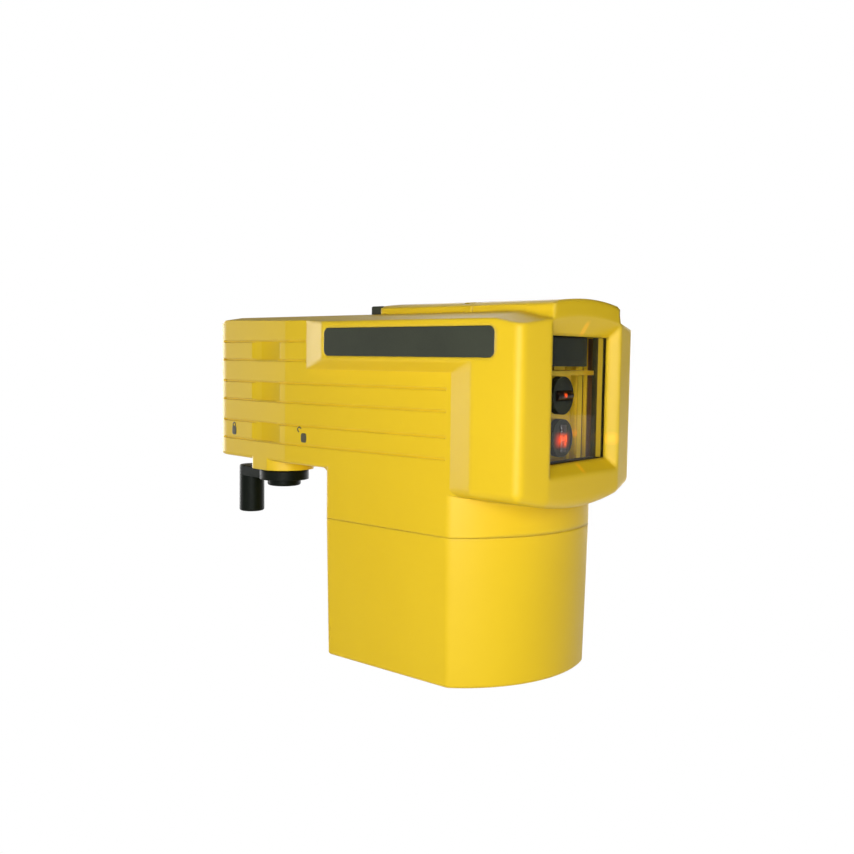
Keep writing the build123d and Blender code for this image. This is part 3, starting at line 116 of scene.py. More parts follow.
def grain(tree, skin, where, look, soft, rub):
    # a moulded, blasted or brushed skin: bumps with a size and depth in mm, duller in the hollows, polished
    # where edges are rubbed, and drawn out along the axes whose stretch is small; grain that is too fine to
    # show is drawn coarser than the real one
    polish = 0.8
    laid = addNode(tree, "ShaderNodeMapping", {"Vector": where, "Scale": look.get("stretch", (1, 1, 1))})
    speck = addNode(tree, "ShaderNodeTexNoise",
                    {"Vector": laid.outputs["Vector"], "Scale": 1 / (look["grain"] * mm),
                     "Detail": 2.0}).outputs["Fac"]
    dull = addNode(tree, "ShaderNodeMapRange",
                   {"Value": speck, "From Min": noiseRange[0], "From Max": noiseRange[1],
                    "To Min": look["rough"], "To Max": look["smooth"]}).outputs["Result"]
    sheen = addNode(tree, "ShaderNodeMix", {"Factor": rub, 2: dull, 3: look["smooth"] * polish}).outputs[0]
    bump = addNode(tree, "ShaderNodeBump", {"Distance": look["depth"] * mm, "Height": speck, "Normal": soft})
    tree.links.new(sheen, skin.inputs["Roughness"])
    tree.links.new(bump.outputs["Normal"], skin.inputs["Normal"])


def tint(tree, skin, share, hexColour):
    # a colour laid over the tone that the skin has so far, by a share from 0 to 1
    under = skin.inputs["Base Color"].links[0].from_socket
    over = addNode(tree, "ShaderNodeMix", {"Factor": share, 6: under, 7: linear(hexColour)},
                   data_type="RGBA")
    tree.links.new(over.outputs[2], skin.inputs["Base Color"])


def glow(tree, skin, strength, hexColour):
    # light that the skin sends out, of one colour
    tree.links.new(strength, skin.inputs["Emission Strength"])
    skin.inputs["Emission Color"].default_value = linear(hexColour)


def dress(name, look):
    # the usual finish: two tones, a third on rubbed edges, and the grain
    finish, tree, skin, where = startFinish(name, look["shader"])
    soft, rub = wornEdges(tree, look["edge"], look["wear"])
    tone = mottle(tree, where, look["deep"], look["light"], look["patch"])
    tree.links.new(tone, skin.inputs["Base Color"])
    tint(tree, skin, rub, look["worn"])
    grain(tree, skin, where, look, soft, rub)
    return finish, tree, skin, where


def softBand(tree, value, middle, core, edge):
    # 1 within core of the middle, fading to 0 at edge; all in mm
    off = addNode(tree, "ShaderNodeMath", {0: value, 1: middle * mm}, operation="SUBTRACT").outputs[0]
    far = addNode(tree, "ShaderNodeMath", {0: off}, operation="ABSOLUTE").outputs[0]
    fade = addNode(tree, "ShaderNodeMapRange",
                   {"Value": far, "From Min": core * mm, "From Max": edge * mm,
                    "To Min": 1.0, "To Max": 0.0}, interpolation_type="SMOOTHSTEP")
    return fade.outputs["Result"]


def softPatch(tree, where, bands):
    # a patch of space with soft edges: the product of a band along each axis that is named
    axes = addNode(tree, "ShaderNodeSeparateXYZ", {"Vector": where}).outputs
    patch = 1.0
    for axis, band in bands.items():
        patch = addNode(tree, "ShaderNodeMath", {0: patch, 1: softBand(tree, axes[axis], *band)},
                        operation="MULTIPLY").outputs[0]
    return patch


finishes = {}

# ABS, injection moulded in a spark-eroded tool: a satin skin with a fine even grain, paler on rubbed edges
yellowAbs = {"shader": {"IOR": 1.5, "Specular IOR Level": 0.28}, "deep": "e6c01b", "light": "e9c41f",
             "patch": 40.0, "worn": "efcd48", "edge": 1.4, "wear": 0.6, "grain": 0.55, "depth": 0.012,
             "smooth": 0.36, "rough": 0.46}
finishes["housing_yellow"] = dress("yellowAbsMoulded", yellowAbs)[0]

# the same ABS on the shell, whose edges are fine on the arm and round on the shoulders and the hood
rounding = {"fine": 0.45, "full": 2.2, "flank": (31.2, 32.4), "hood": (24.0, 30.0)}
hoodFinish, tree, skin, where = dress("yellowAbsHood", yellowAbs)
axes = addNode(tree, "ShaderNodeSeparateXYZ", {"Vector": where}).outputs
off = addNode(tree, "ShaderNodeMath", {0: axes["Y"]}, operation="ABSOLUTE").outputs[0]
proud = addNode(tree, "ShaderNodeMapRange",
                {"Value": off, "From Min": rounding["flank"][0] * mm,
                 "From Max": rounding["flank"][1] * mm}).outputs["Result"]
fore = addNode(tree, "ShaderNodeMapRange",
               {"Value": axes["X"], "From Min": rounding["hood"][0] * mm,
                "From Max": rounding["hood"][1] * mm}).outputs["Result"]
broad = addNode(tree, "ShaderNodeMath", {0: proud, 1: fore}, operation="MAXIMUM").outputs[0]
edgeRadius = addNode(tree, "ShaderNodeMapRange",
                     {"Value": broad, "To Min": rounding["fine"] * mm,
                      "To Max": rounding["full"] * mm}).outputs["Result"]
tree.links.new(edgeRadius, tree.nodes["Bevel"].inputs["Radius"])

# its pockets get a slightly deeper tone, which is painted shade in the recesses, and a duller skin
pocketLook = {"tone": "e6c01c", "dull": 0.92, "along": (-69.9, 6.2, 7.0), "levels": (78.85, 94.3, 109.75),
              "half": (3.2, 3.7)}
pocketShade = 0.0
for level in pocketLook["levels"]:
    patch = softPatch(tree, where, {"X": pocketLook["along"], "Z": (level, *pocketLook["half"])})
    pocketShade = addNode(tree, "ShaderNodeMath", {0: pocketShade, 1: patch}, operation="ADD").outputs[0]
tint(tree, skin, pocketShade, pocketLook["tone"])
plainSheen = skin.inputs["Roughness"].links[0].from_socket
pocketDulling = addNode(tree, "ShaderNodeMix", {"Factor": pocketShade, 2: plainSheen, 3: pocketLook["dull"]})
tree.links.new(pocketDulling.outputs[0], skin.inputs["Roughness"])

# two fans of laser light graze the walls of its window's funnel, each wall with a strength and a place
laserGlow = {"colour": "ff8a1c", "walls": {
    "side": (0.42, {"X": (47.4, 0.6, 2.8), "Y": (20.9, 0.6, 2.6), "Z": (81.2, 0.4, 2.6)}),
    "roof": (0.26, {"X": (47.4, 0.6, 2.8), "Y": (1.2, 0.1, 2.1), "Z": (117.6, 0.8, 3.6)}),
    "sill": (0.2, {"X": (47.4, 0.6, 2.8), "Y": (0.0, 0.1, 2.0), "Z": (72.6, 0.6, 2.8)})}}
fans = 0.0
for strength, bands in laserGlow["walls"].values():
    fans = addNode(tree, "ShaderNodeMath", {0: softPatch(tree, where, bands), 1: strength, 2: fans},
                   operation="MULTIPLY_ADD").outputs[0]
glow(tree, skin, fans, laserGlow["colour"])

# thin strips, knob and catch of textured ABS: dark olive grey, matt with a slight sheen
stripBlack = {"shader": {"IOR": 1.5, "Specular IOR Level": 0.4}, "deep": "292d1f", "light": "303425",
              "patch": 14.0, "worn": "5a5d4c", "edge": 0.4, "wear": 0.5, "grain": 0.45, "depth": 0.02,
              "smooth": 0.46, "rough": 0.6}
finishes["trim_black"] = dress("oliveAbsTextured", stripBlack)[0]

# glass-filled nylon, moulded: black with the grey swirl of the fibres
nylonBlack = {"shader": {"IOR": 1.52, "Specular IOR Level": 0.08}, "deep": "090f09", "light": "10160e",
              "patch": 3.0, "worn": "262c25", "edge": 0.6, "wear": 0.5, "grain": 0.4, "depth": 0.02,
              "smooth": 0.36, "rough": 0.52}
finishes["lever_black"] = dress("blackNylonMoulded", nylonBlack)[0]

# matt black polycarbonate round the optics, which has to swallow stray light, olive where light catches it
innerBlack = {"shader": {"IOR": 1.58, "Specular IOR Level": 0.16}, "deep": "10130c", "light": "1b1f14",
              "patch": 5.0, "worn": "33382c", "edge": 0.5, "wear": 0.5, "grain": 0.35, "depth": 0.02,
              "smooth": 0.48, "rough": 0.66}
finishes["inner_black"] = dress("blackPolycarbonateMatt", innerBlack)[0]

# the same plastic on the lens holders, with red laser light painted on as glow where the lower beam spills
# over it
spill = {"colour": "ff3a06", "strength": 1.0, "near": {"Y": (-0.4, 0.3, 5.4), "Z": (81.4, 0.2, 3.2)}}
holderFinish, tree, skin, where = dress("blackPolycarbonateLit", innerBlack)
lit = addNode(tree, "ShaderNodeMath", {0: softPatch(tree, where, spill["near"]), 1: spill["strength"]},
              operation="MULTIPLY").outputs[0]
glow(tree, skin, lit, spill["colour"])

# the same plastic on the window frame, with a thin yellow stripe along its two upright sides: a painted
# reflection of the yellow housing on the frame's inner wall
frameReflection = {"tone": "b0911f", "right": {"X": (42.4, 0.8, 1.0), "Y": (19.75, 0.3, 0.5)},
        "left": {"X": (42.4, 0.8, 1.0), "Y": (-19.75, 0.3, 0.5)}}
frameFinish, tree, skin, where = dress("blackPolycarbonateReflecting", innerBlack)
reflectionShare = addNode(tree, "ShaderNodeMath",
                 {0: softPatch(tree, where, frameReflection["right"]), 1: softPatch(tree, where, frameReflection["left"])},
                 operation="ADD").outputs[0]
tint(tree, skin, reflectionShare, frameReflection["tone"])

# nitrile rubber pad, dull with small pits
rubber = {"shader": {"IOR": 1.52}, "deep": "242321", "light": "34322f", "patch": 2.5, "worn": "45423d",
          "edge": 0.4, "wear": 0.4, "grain": 0.6, "depth": 0.08, "smooth": 0.7, "rough": 0.88}
finishes["pad_rubber"] = dress("nitrileRubber", rubber)[0]

# zinc-plated steel screws: pale metal with a faint bloom, bare on the rims of the heads
zinc = {"shader": {"Metallic": 1.0}, "deep": "b4b6b8", "light": "d4d5d2", "patch": 1.2, "worn": "e6e5df",
        "edge": 0.2, "wear": 0.8, "grain": 0.25, "depth": 0.01, "smooth": 0.26, "rough": 0.4}
finishes["screw_steel"] = dress("zincPlatedSteel", zinc)[0]

# ground steel: fine rings left by the wheel
groundSteel = {"shader": {"Metallic": 1.0}, "deep": "9c9d9e", "light": "c2c3c3", "patch": 2.0,
               "worn": "dcdcda", "edge": 0.2, "wear": 0.7, "grain": 0.12, "depth": 0.006, "smooth": 0.2,
               "rough": 0.36, "stretch": (0.1, 0.1, 1.0)}
finishes["shaft_steel"] = dress("groundSteel", groundSteel)[0]

# blued spring strip, drawn along its length
bluedStrip = {"shader": {"Metallic": 1.0}, "deep": "4b4f58", "light": "70747c", "patch": 1.5,
              "worn": "9a9da2", "edge": 0.15, "wear": 0.7, "grain": 0.2, "depth": 0.006, "smooth": 0.25,
              "rough": 0.42, "stretch": (1.0, 1.0, 0.1)}
finishes["spring_steel"] = dress("bluedSpringSteel", bluedStrip)[0]

# sintered bronze bushings: open pores
sinter = {"shader": {"Metallic": 1.0}, "deep": "7d5a34", "light": "a67c48", "patch": 0.5, "worn": "c39a62",
          "edge": 0.2, "wear": 0.6, "grain": 0.22, "depth": 0.03, "smooth": 0.38, "rough": 0.6}
finishes["bronze"] = dress("sinteredBronze", sinter)[0]

# brass of the pendulum, milled and lightly lacquered, with fine mill lines
milledBrass = {"shader": {"Metallic": 1.0}, "deep": "c2a42c", "light": "d2b43c", "patch": 5.0,
               "worn": "d8bd62", "edge": 0.3, "wear": 0.6, "grain": 0.25, "depth": 0.01, "smooth": 0.3,
               "rough": 0.48, "stretch": (1.0, 0.06, 1.0)}
finishes["pendulum_brass"] = dress("milledBrass", milledBrass)[0]

# black anodised aluminium barrels, turned: rings round the barrel's axis
anodised = {"shader": {"Metallic": 0.6}, "deep": "151516", "light": "2a2a2b", "patch": 1.5,
            "worn": "8d8d8c", "edge": 0.3, "wear": 0.35, "grain": 0.3, "depth": 0.02, "smooth": 0.3,
            "rough": 0.46, "stretch": (1.0, 0.06, 0.06)}
finishes["module_black"] = dress("blackAnodisedAluminium", anodised)[0]

# rolled copper disc: brown tarnish in patches
rolledCopper = {"shader": {"Metallic": 1.0}, "deep": "9a5a3a", "light": "c57b54", "patch": 3.0,
                "worn": "dc9a74", "edge": 0.2, "wear": 0.6, "grain": 0.25, "depth": 0.008, "smooth": 0.28,
                "rough": 0.46, "stretch": (0.1, 1.0, 1.0)}
finishes["copper"] = dress("rolledCopper", rolledCopper)[0]

# nickel-plated magnets, bright and slightly yellow
nickel = {"shader": {"Metallic": 1.0}, "deep": "a9a7a0", "light": "c9c6bd", "patch": 1.5, "worn": "e0ddd2",
          "edge": 0.2, "wear": 0.5, "grain": 0.3, "depth": 0.006, "smooth": 0.18, "rough": 0.32}
finishes["magnet"] = dress("nickelPlate", nickel)[0]

# nickelled contact strip, rolled along its length
contactStrip = {"shader": {"Metallic": 1.0}, "deep": "b0ac9c", "light": "d2cdb8", "patch": 1.5,
                "worn": "e6e2d2", "edge": 0.15, "wear": 0.6, "grain": 0.25, "depth": 0.006, "smooth": 0.22,
                "rough": 0.38, "stretch": (1.0, 0.1, 1.0)}
finishes["contact_metal"] = dress("nickelContactStrip", contactStrip)[0]

# moulded epoxy parts on the board, grainy black
epoxy = {"shader": {"IOR": 1.55}, "deep": "1a1a1b", "light": "29292a", "patch": 1.0, "worn": "444446",
         "edge": 0.2, "wear": 0.5, "grain": 0.3, "depth": 0.02, "smooth": 0.45, "rough": 0.6}
finishes["board_part"] = dress("blackEpoxy", epoxy)[0]

# circuit board: green solder mask over copper tracks, paler where a track runs under it
solderMask = {"shader": {"IOR": 1.5}, "deep": "0f4a2c", "light": "125232", "patch": 8.0, "worn": "9a8a52",
              "edge": 0.2, "wear": 0.7, "grain": 0.5, "depth": 0.01, "smooth": 0.24, "rough": 0.38,
              "track": "2a7a46", "pitch": 9.0, "trackEdge": (0.62, 0.68)}
finishes["board_green"], tree, skin, where = dress("solderMaskGreen", solderMask)
tracks = addNode(tree, "ShaderNodeTexWave",
                 {"Vector": where, "Scale": 1 / (solderMask["pitch"] * mm), "Distortion": 3.0, "Detail": 1.0,
                  "Detail Scale": 0.6}, bands_direction="Y").outputs["Fac"]
laid = addNode(tree, "ShaderNodeMapRange",
               {"Value": tracks, "From Min": solderMask["trackEdge"][0],
                "From Max": solderMask["trackEdge"][1]}).outputs["Result"]
tint(tree, skin, laid, solderMask["track"])

# cells: a printed sleeve with a dark ring, bare steel at both ends
cellLook = {"shader": {"IOR": 1.5}, "deep": "5d6a72", "light": "6c7a82", "patch": 8.0, "worn": "8b979d",
            "edge": 0.3, "wear": 0.5, "grain": 0.4, "depth": 0.006, "smooth": 0.22, "rough": 0.36,
            "ring": "23292e", "ringAt": (41.0, 4.5, 4.7), "steel": "c4c5c4", "sleeveAt": (27.6, 23.4, 23.5)}
finishes["cell_jacket"], tree, skin, where = dress("cellSleeve", cellLook)
height = addNode(tree, "ShaderNodeSeparateXYZ", {"Vector": where}).outputs["Z"]
tint(tree, skin, softBand(tree, height, *cellLook["ringAt"]), cellLook["ring"])
wrapped = softBand(tree, height, *cellLook["sleeveAt"])
bare = addNode(tree, "ShaderNodeMath", {0: 1.0, 1: wrapped}, operation="SUBTRACT").outputs[0]
tint(tree, skin, bare, cellLook["steel"])
tree.links.new(bare, skin.inputs["Metallic"])

# coated acrylic pane: clear, hardly reflects, lets the lamps through, with the faint smear of a wiped face
paneLook = {"shader": {"IOR": 1.14, "Transmission Weight": 1.0}, "deep": "fbfcfa", "light": "ffffff",
            "patch": 12.0, "smear": 6.0, "haze": 0.04, "shade": "ffffff"}
finishes["pane_clear"], tree, skin, where = startFinish("coatedAcrylic", paneLook["shader"])
tone = mottle(tree, where, paneLook["deep"], paneLook["light"], paneLook["patch"])
tree.links.new(tone, skin.inputs["Base Color"])
smear = addNode(tree, "ShaderNodeTexNoise",
                {"Vector": where, "Scale": 1 / (paneLook["smear"] * mm), "Detail": 4.0}).outputs["Fac"]
wiped = addNode(tree, "ShaderNodeMapRange", {"Value": smear, "To Min": 0.0, "To Max": paneLook["haze"]})
tree.links.new(wiped.outputs["Result"], skin.inputs["Roughness"])
through = addNode(tree, "ShaderNodeBsdfTransparent", {"Color": linear(paneLook["shade"])})
lit = addNode(tree, "ShaderNodeLightPath").outputs["Is Shadow Ray"]
both = addNode(tree, "ShaderNodeMixShader", {0: lit, 1: skin.outputs["BSDF"], 2: through.outputs["BSDF"]})
tree.links.new(both.outputs["Shader"], tree.nodes["Material Output"].inputs["Surface"])

# glass rod lenses: dark glass, lit where the beam passes, as a glint in the upper and a glow in the lower
rodLook = {"shader": {"IOR": 1.52, "Specular IOR Level": 0.2}, "deep": "0e0806", "light": "1e0e0a",
           "patch": 1.2, "worn": "3a221a", "edge": 0.2, "wear": 0.4, "grain": 0.5, "depth": 0.004,
           "smooth": 0.06, "rough": 0.14, "beam": "ff520c", "strength": (0.5, 1.9), "sparkle": 1.6,
           "contrast": (0.35, 0.65),
           "glint": {"Y": (-0.6, 0.4, 1.2), "Z": (96.1, 0.3, 1.0)}, "fire": {"Z": (81.4, 0.5, 2.9)}}
finishes["rod_glass"], tree, skin, where = dress("glassRodLit", rodLook)
beam = addNode(tree, "ShaderNodeMath",
               {0: softPatch(tree, where, rodLook["glint"]), 1: softPatch(tree, where, rodLook["fire"])},
               operation="ADD").outputs[0]
sparkle = addNode(tree, "ShaderNodeTexNoise",
                  {"Vector": where, "Scale": 1 / (rodLook["sparkle"] * mm), "Detail": 2.0}).outputs["Fac"]
burn = addNode(tree, "ShaderNodeMapRange",
               {"Value": sparkle, "From Min": rodLook["contrast"][0], "From Max": rodLook["contrast"][1],
                "To Min": rodLook["strength"][0], "To Max": rodLook["strength"][1]}).outputs["Result"]
fire = addNode(tree, "ShaderNodeMath", {0: beam, 1: burn}, operation="MULTIPLY").outputs[0]
glow(tree, skin, fire, rodLook["beam"])

ownFinish = {"main_housing": hoodFinish, "lens_holders": holderFinish, "window_frame": frameFinish}
slotOf = {part["node"]: part["material_slot"] for part in frame["record"]["subparts"]}
for name, node in nodes.items():
    for place in node.material_slots:
        place.material = ownFinish.get(name, finishes[slotOf[name]])
print("finishes on", len(nodes), "nodes")


def addPiece(name, points, faces, finish, body):
    # a closed mesh from whole arrays, at the origin with its place in its points and its faces outward
    mesh = bpy.data.meshes.new(name)
    mesh.from_pydata(points.tolist(), [], faces)
    shell = bmesh.new()
    shell.from_mesh(mesh)
    bmesh.ops.recalc_face_normals(shell, faces=shell.faces)
    shell.to_mesh(mesh)
    shell.free()
    mesh.materials.append(finish)
    mesh.shade_smooth()
    piece = bpy.data.objects.new(name, mesh)
    bpy.context.scene.collection.objects.link(piece)
    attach(piece, body)
    return piece


def gridFaces(rows, columns):
    # quads between the rows of a grid whose columns close on themselves
    r, c = np.meshgrid(np.arange(rows - 1), np.arange(columns), indexing="ij")
    across = (c + 1) % columns
    near, far = r * columns, (r + 1) * columns
    return np.stack([near + c, near + across, far + across, far + c], -1).reshape(-1, 4).tolist()


# raised ink of the two lock signs, dark grey with worn tops
signInk = {"shader": {"IOR": 1.5}, "deep": "3a3828", "light": "504a32", "patch": 1.2, "worn": "756c48",
           "edge": 0.15, "wear": 0.5, "grain": 0.4, "depth": 0.02, "smooth": 0.5, "rough": 0.65}
inkFinish = dress("signInk", signInk)[0]
lockSigns = {"width": 2.9, "height": 3.5, "relief": 0.14, "bow": 0.85, "leg": 0.5, "bar": 0.55, "sink": 0.01,
             "rings": (0.05, 0.5, 0.8, 0.88, 0.94, 0.98, 1.0), "rim": 0.8, "spokes": 48,
             "along": 40, "around": 9,
             "lock_sign_closed": {"at": (-93.82, -27.206, 78.3), "taper": (5.6, 50.0),
                                  "bowTurn": 0.0, "bowShift": (0.0, -0.1)},
             "lock_sign_open": {"at": (-49.9, -31.0, 78.1), "taper": (0.0, 50.0),
                                "bowTurn": 0.9, "bowShift": (-1.9, 0.9)}}


def lockBody():
    # a squarish disc with a flat back: the outline is |u|^4 + |v|^4 = 1, and past the rim's share of the
    # radius the relief falls off like a quarter round
    spokes, rings = lockSigns["spokes"], len(lockSigns["rings"])
    t = np.linspace(0, 2 * np.pi, spokes, endpoint=False)
    edge = (np.abs(np.cos(t)) ** 4 + np.abs(np.sin(t)) ** 4) ** -0.25
    share = np.array(lockSigns["rings"])
    past = np.clip((share - lockSigns["rim"]) / (1 - lockSigns["rim"]), 0, 1)
    u = np.outer(share, edge * np.cos(t)) * lockSigns["width"] / 2
    v = np.outer(share, edge * np.sin(t)) * lockSigns["height"] / 2
    w = np.repeat(np.sqrt(1 - past ** 2)[:, None], spokes, 1) * lockSigns["relief"]
    ends = [list(range(spokes)), list(range((rings - 1) * spokes, rings * spokes))]
    return np.stack([u, v, w], -1).reshape(-1, 3), gridFaces(rings, spokes) + ends


def lockBow():
    # a bow with a flat back: two legs and a half circle, carried by a half-round section
    along, around = lockSigns["along"], lockSigns["around"]
    radius, leg = lockSigns["bow"], lockSigns["leg"]
    length = 2 * leg + np.pi * radius
    d = np.linspace(0, 1, along) * length
    angle = np.clip((d - leg) / radius, 0, np.pi)
    up = np.where(d < leg, d, np.where(d > length - leg, length - d, leg))
    path = np.stack([radius * np.cos(angle), up + radius * np.sin(angle)], -1)
    out = np.stack([np.cos(angle), np.sin(angle)], -1)
    a = np.linspace(0, np.pi, around)
    flat = path[:, None, :] + out[:, None, :] * (np.cos(a) * lockSigns["bar"] / 2)[None, :, None]
    rise = np.broadcast_to(np.sin(a) * lockSigns["relief"], (along, around))
    ends = [list(range(around)), list(range((along - 1) * around, along * around))]
    return np.concatenate([flat, rise[..., None]], -1).reshape(-1, 3), gridFaces(along, around) + ends


def lockSign(name):
    # body and bow lie in the flank's plane: u along the arm, v up, w out of the flank, which comes in by the
    # first figure of its taper over the second
    sign = lockSigns[name]
    turn = np.arctan2(*sign["taper"])
    body, bodyFaces = lockBody()
    bow, bowFaces = lockBow()
    c, s = np.cos(sign["bowTurn"]), np.sin(sign["bowTurn"])
    shift = np.array([sign["bowShift"][0], lockSigns["height"] / 2 + sign["bowShift"][1]])
    bow[:, :2] = bow[:, :2] @ np.array([[c, -s], [s, c]]).T + shift
    u, v, w = np.concatenate([body, bow]).T[:, :, None]
    faces = bodyFaces + [[corner + len(body) for corner in face] for face in bowFaces]
    along = np.array([np.cos(turn), -np.sin(turn), 0.0])
    up = np.array([0.0, 0.0, 1.0])
    out = np.array([-np.sin(turn), -np.cos(turn), 0.0])
    points = np.array(sign["at"]) + u * along + v * up + (w - lockSigns["sink"]) * out
    addPiece(name, points * mm, faces, inkFinish, "housing")


lockSign("lock_sign_closed")
lockSign("lock_sign_open")
print("lock signs on the flank")

# stiffening ribs on the hood's inner walls, seen through the window: yellow crests, painted shade in brown
# along the grooves, and a streak of laser light painted across them as glow
ribs = {"from": 23.6, "to": 36.8, "low": 70.0, "high": 115.5, "wall": 32.48,
        "crests": ((25.2, 1.6, 1.5), (29.85, 0.85, 1.1), (35.5, 1.2, 1.9)), "ease": 0.105, "base": 0.15,
        "samples": 90}
ribLook = {"shader": {"IOR": 1.5, "Specular IOR Level": 0.3}, "deep": "f0c01e", "light": "f4c826",
           "patch": 9.0, "worn": "f6d04a", "edge": 0.3, "wear": 0.4, "grain": 0.55, "depth": 0.012,
           "smooth": 0.42, "rough": 0.55, "grooveShadeTone": "6a4526", "grooveShadeBand": (32.4, 0.4, 1.0),
           "beam": "ff7a14", "shine": 0.5, "streak": {"X": (25.6, 1.0, 3.0), "Z": (81.2, 0.3, 1.5)}}


def ribSheet(side):
    # a closed sheet: its height over the wall is a sum of flat-topped humps along x, each with a middle, a
    # half width and a height, carried straight up
    samples = ribs["samples"]
    x = np.linspace(ribs["from"], ribs["to"], samples)
    rise = np.full(samples, ribs["base"])
    for middle, half, height in ribs["crests"]:
        rise += height / (1 + np.exp((np.abs(x - middle) - half) / ribs["ease"]))
    face = np.stack([x, ribs["wall"] - rise], -1)
    back = np.stack([x[::-1], np.full(samples, ribs["wall"])], -1)
    outline = np.concatenate([face, back])
    outline[:, 1] *= side
    levels = np.array([ribs["low"], ribs["high"]])
    around = len(outline)
    points = np.concatenate([np.tile(outline, (2, 1)), np.repeat(levels, around)[:, None]], 1)
    ends = [list(range(around)), list(range(around, 2 * around))]
    return points * mm, gridFaces(2, around) + ends


ribFinish, tree, skin, where = dress("yellowAbsRibs", ribLook)
across = addNode(tree, "ShaderNodeSeparateXYZ", {"Vector": where}).outputs["Y"]
off = addNode(tree, "ShaderNodeMath", {0: across}, operation="ABSOLUTE").outputs[0]
# painted shade: the grooves are darkened to brown
tint(tree, skin, softBand(tree, off, *ribLook["grooveShadeBand"]), ribLook["grooveShadeTone"])
# a painted streak of orange laser light, glowing across the ribs
struck = addNode(tree, "ShaderNodeMath",
                 {0: softPatch(tree, where, ribLook["streak"]), 1: ribLook["shine"]},
                 operation="MULTIPLY").outputs[0]
glow(tree, skin, struck, ribLook["beam"])
for name, side in (("hood_ribs_left", 1), ("hood_ribs_right", -1)):
    points, faces = ribSheet(side)
    addPiece(name, points, faces, ribFinish, "housing")
print("ribs inside the hood")

# bowed leaf spring behind the catch: its crown rests on the catch
leaf = {"thick": 0.3, "travel": 1.6, "samples": 33}
low, high = (np.array(corner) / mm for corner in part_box("latch_spring"))
half = (high[1] - low[1]) / 2 - leaf["thick"] / 2
sag = high[0] - low[0] - leaf["thick"]
bowRadius = (half ** 2 + sag ** 2) / (2 * sag)


def leafStrip():
    # a strip of rectangular section carried along the arc of a circle that crowns towards the catch
    a = np.linspace(-1, 1, leaf["samples"]) * np.arcsin(half / bowRadius)
    ring = bowRadius + np.array([-0.5, 0.5, 0.5, -0.5]) * leaf["thick"]
    middle = low[0] + leaf["thick"] / 2 + bowRadius
    x = middle - np.outer(np.cos(a), ring)
    y = np.outer(np.sin(a), ring)
    z = np.broadcast_to(np.array([low[2], low[2], high[2], high[2]]), x.shape)
    corners = len(ring)
    last = corners * (leaf["samples"] - 1)
    ends = [list(range(corners)), list(range(last, last + corners))]
    return np.stack([x, y, z], -1).reshape(-1, 3) * mm, gridFaces(leaf["samples"], corners) + ends


points, faces = leafStrip()
spring = addPiece("catch_leaf_spring", points, faces, finishes["spring_steel"], "cup")
spring.data.shade_flat()
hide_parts("latch_spring")
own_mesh(spring)
print("catch spring bowed, sag", round(float(sag), 2), "mm")

# camera at the photograph's view
view = {"at": (203.882, -269.022, 107.196), "right": (0.77195689, 0.63553076, 0.01353516),
        "up": (-0.05543386, 0.04609157, 0.99739794), "ahead": (-0.63325322, 0.77069852, -0.07081063),
        "lens": 40.002, "film": 36.0, "nearest": 10.0}
cameraData = bpy.data.cameras.new("camera")
cameraData.lens = view["lens"]
cameraData.sensor_width = view["film"]
cameraData.clip_start = view["nearest"] * mm
camera = bpy.data.objects.new("camera", cameraData)
turnMatrix = Matrix((view["right"], view["up"], [-a for a in view["ahead"]])).transposed()
camera.matrix_world = Matrix.Translation(Vector(view["at"]) * mm) @ turnMatrix.to_4x4()
bpy.context.scene.collection.objects.link(camera)
bpy.context.scene.camera = camera
print("camera set")

# floor: a disc below the reach of the pulled cup, which throws light back up and shows as plain white
floorLook = {"radius": 3000.0, "level": -75.0, "white": "a6a6a4", "rings": 12, "spokes": 64, "inner": 0.02}
rho = np.linspace(floorLook["inner"], 1, floorLook["rings"]) ** 2 * floorLook["radius"]
phi = np.linspace(0, 2 * np.pi, floorLook["spokes"], endpoint=False)
x, y = np.outer(rho, np.cos(phi)), np.outer(rho, np.sin(phi))
disc = np.stack([x, y, np.full(x.shape, floorLook["level"])], -1).reshape(-1, 3) * mm
floorFaces = gridFaces(floorLook["rings"], floorLook["spokes"]) + [list(range(floorLook["spokes"]))]
floorMesh = bpy.data.meshes.new("floor")
floorMesh.from_pydata(disc.tolist(), [], floorFaces)
floor = bpy.data.objects.new("floor", floorMesh)
bpy.context.scene.collection.objects.link(floor)
paper = bpy.data.materials.new("whitePaper")
paper.use_nodes = True
tree = paper.node_tree
tree.nodes.clear()
matt = addNode(tree, "ShaderNodeBsdfDiffuse", {"Color": linear(floorLook["white"])})
plain = addNode(tree, "ShaderNodeEmission", {"Strength": 1.0})
rays = addNode(tree, "ShaderNodeLightPath")
seen = 0.0
for kind in ("Is Camera Ray", "Is Glossy Ray", "Is Transmission Ray"):
    seen = addNode(tree, "ShaderNodeMath", {0: seen, 1: rays.outputs[kind]}, operation="MAXIMUM").outputs[0]
blend = addNode(tree, "ShaderNodeMixShader",
                {0: seen, 1: matt.outputs["BSDF"], 2: plain.outputs["Emission"]})
addNode(tree, "ShaderNodeOutputMaterial", {"Surface": blend.outputs["Shader"]})
floorMesh.materials.append(paper)

# world: white to the camera; gloss, glass and the weak fill see a room that is bright on the left,
# and dim on the right and overhead
studio = {"fill": 0.14, "gloss": 0.7, "bright": (-0.98, -0.2, 0.0), "turn": (-0.3, 0.7), "dim": 0.05,
          "height": (0.1, 0.55), "ceiling": 0.1}
world = bpy.data.worlds.new("studio")
bpy.context.scene.world = world
world.use_nodes = True
tree = world.node_tree
tree.nodes.clear()
rays = addNode(tree, "ShaderNodeLightPath")
heading = addNode(tree, "ShaderNodeTexCoord").outputs["Generated"]
upward = addNode(tree, "ShaderNodeSeparateXYZ", {"Vector": heading}).outputs["Z"]
overhead = addNode(tree, "ShaderNodeMapRange",
                   {"Value": upward, "From Min": studio["height"][0], "From Max": studio["height"][1],
                    "To Min": 1.0, "To Max": studio["ceiling"]},
                   interpolation_type="SMOOTHSTEP").outputs["Result"]
leftward = addNode(tree, "ShaderNodeVectorMath", {0: heading, 1: studio["bright"]},
                   operation="DOT_PRODUCT").outputs["Value"]
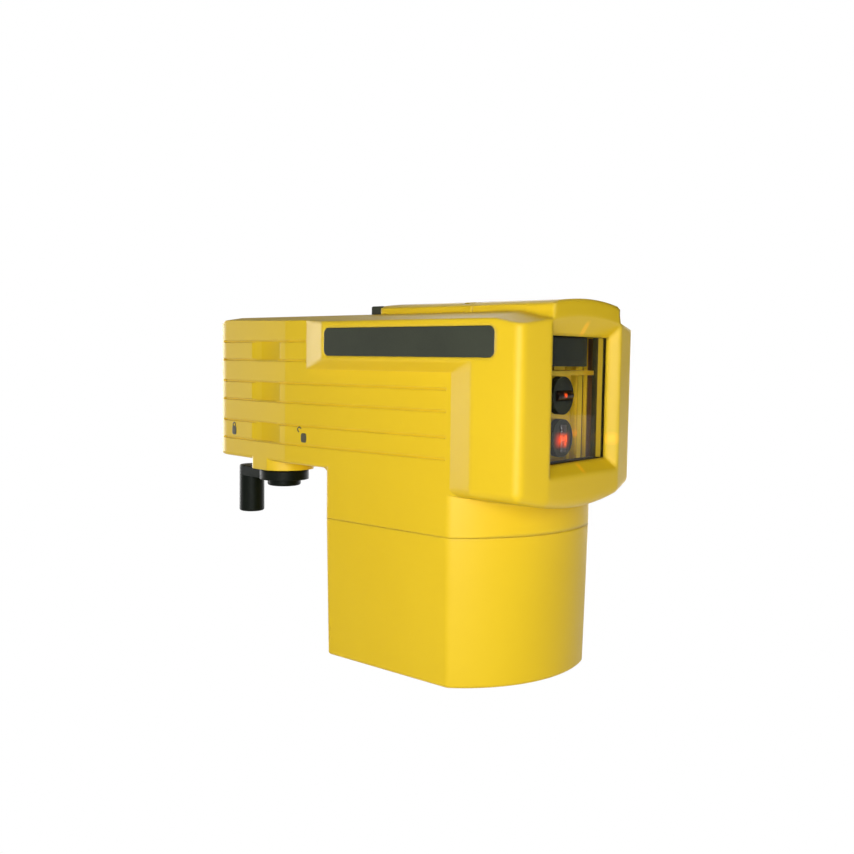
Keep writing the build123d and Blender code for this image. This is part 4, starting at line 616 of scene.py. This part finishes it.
walls = addNode(tree, "ShaderNodeMapRange",
                {"Value": leftward, "From Min": studio["turn"][0], "From Max": studio["turn"][1],
                 "To Min": studio["dim"], "To Max": 1.0},
                interpolation_type="SMOOTHSTEP").outputs["Result"]
room = addNode(tree, "ShaderNodeMath", {0: overhead, 1: walls}, operation="MULTIPLY").outputs[0]
mirrored = addNode(tree, "ShaderNodeMath",
                   {0: rays.outputs["Is Glossy Ray"], 1: rays.outputs["Is Transmission Ray"]},
                   operation="MAXIMUM").outputs[0]
level = addNode(tree, "ShaderNodeMix",
                {"Factor": mirrored, 2: studio["fill"], 3: studio["gloss"]}).outputs[0]
lit = addNode(tree, "ShaderNodeMath", {0: level, 1: room}, operation="MULTIPLY").outputs[0]
shown = addNode(tree, "ShaderNodeMix", {"Factor": rays.outputs["Is Camera Ray"], 2: lit, 3: 1.0}).outputs[0]
sky = addNode(tree, "ShaderNodeBackground", {"Color": (1, 1, 1, 1), "Strength": shown})
addNode(tree, "ShaderNodeOutputWorld", {"Surface": sky.outputs["Background"]})

# lamps: soft boxes in front, one at the left for the facets that face it, and three for the far cheek, the
# back and the top; the far one isn't mirrored, because it would veil the cheek
lamps = {"key": {"at": (200, -325, 106), "size": 200, "watts": 1.17},
         "keyLeft": {"at": (-30, -430, 112), "size": 220, "watts": 0.21},
         "keyRight": {"at": (350, -220, 110), "size": 260, "watts": 0.19},
         "left": {"at": (-520, 10, 105), "size": 260, "watts": 1.45},
         "far": {"at": (430, 170, 130), "size": 300, "watts": 0.38, "sheen": False},
         "back": {"at": (-180, 490, 135), "size": 420, "watts": 1.5},
         "top": {"at": (-110, 250, 430), "size": 420, "watts": 0.7}}
aim = Vector((-15, 0, 80)) * mm
for name, lamp in lamps.items():
    data = bpy.data.lights.new(name, "AREA")
    data.size = lamp["size"] * mm
    data.energy = lamp["watts"]
    light = bpy.data.objects.new(name, data)
    light.location = Vector(lamp["at"]) * mm
    light.rotation_euler = (aim - light.location).to_track_quat("-Z", "Y").to_euler()
    light.visible_glossy = lamp.get("sheen", True)
    bpy.context.scene.collection.objects.link(light)
bpy.context.scene.view_settings.view_transform = "Standard"
print("stage and lamps set")
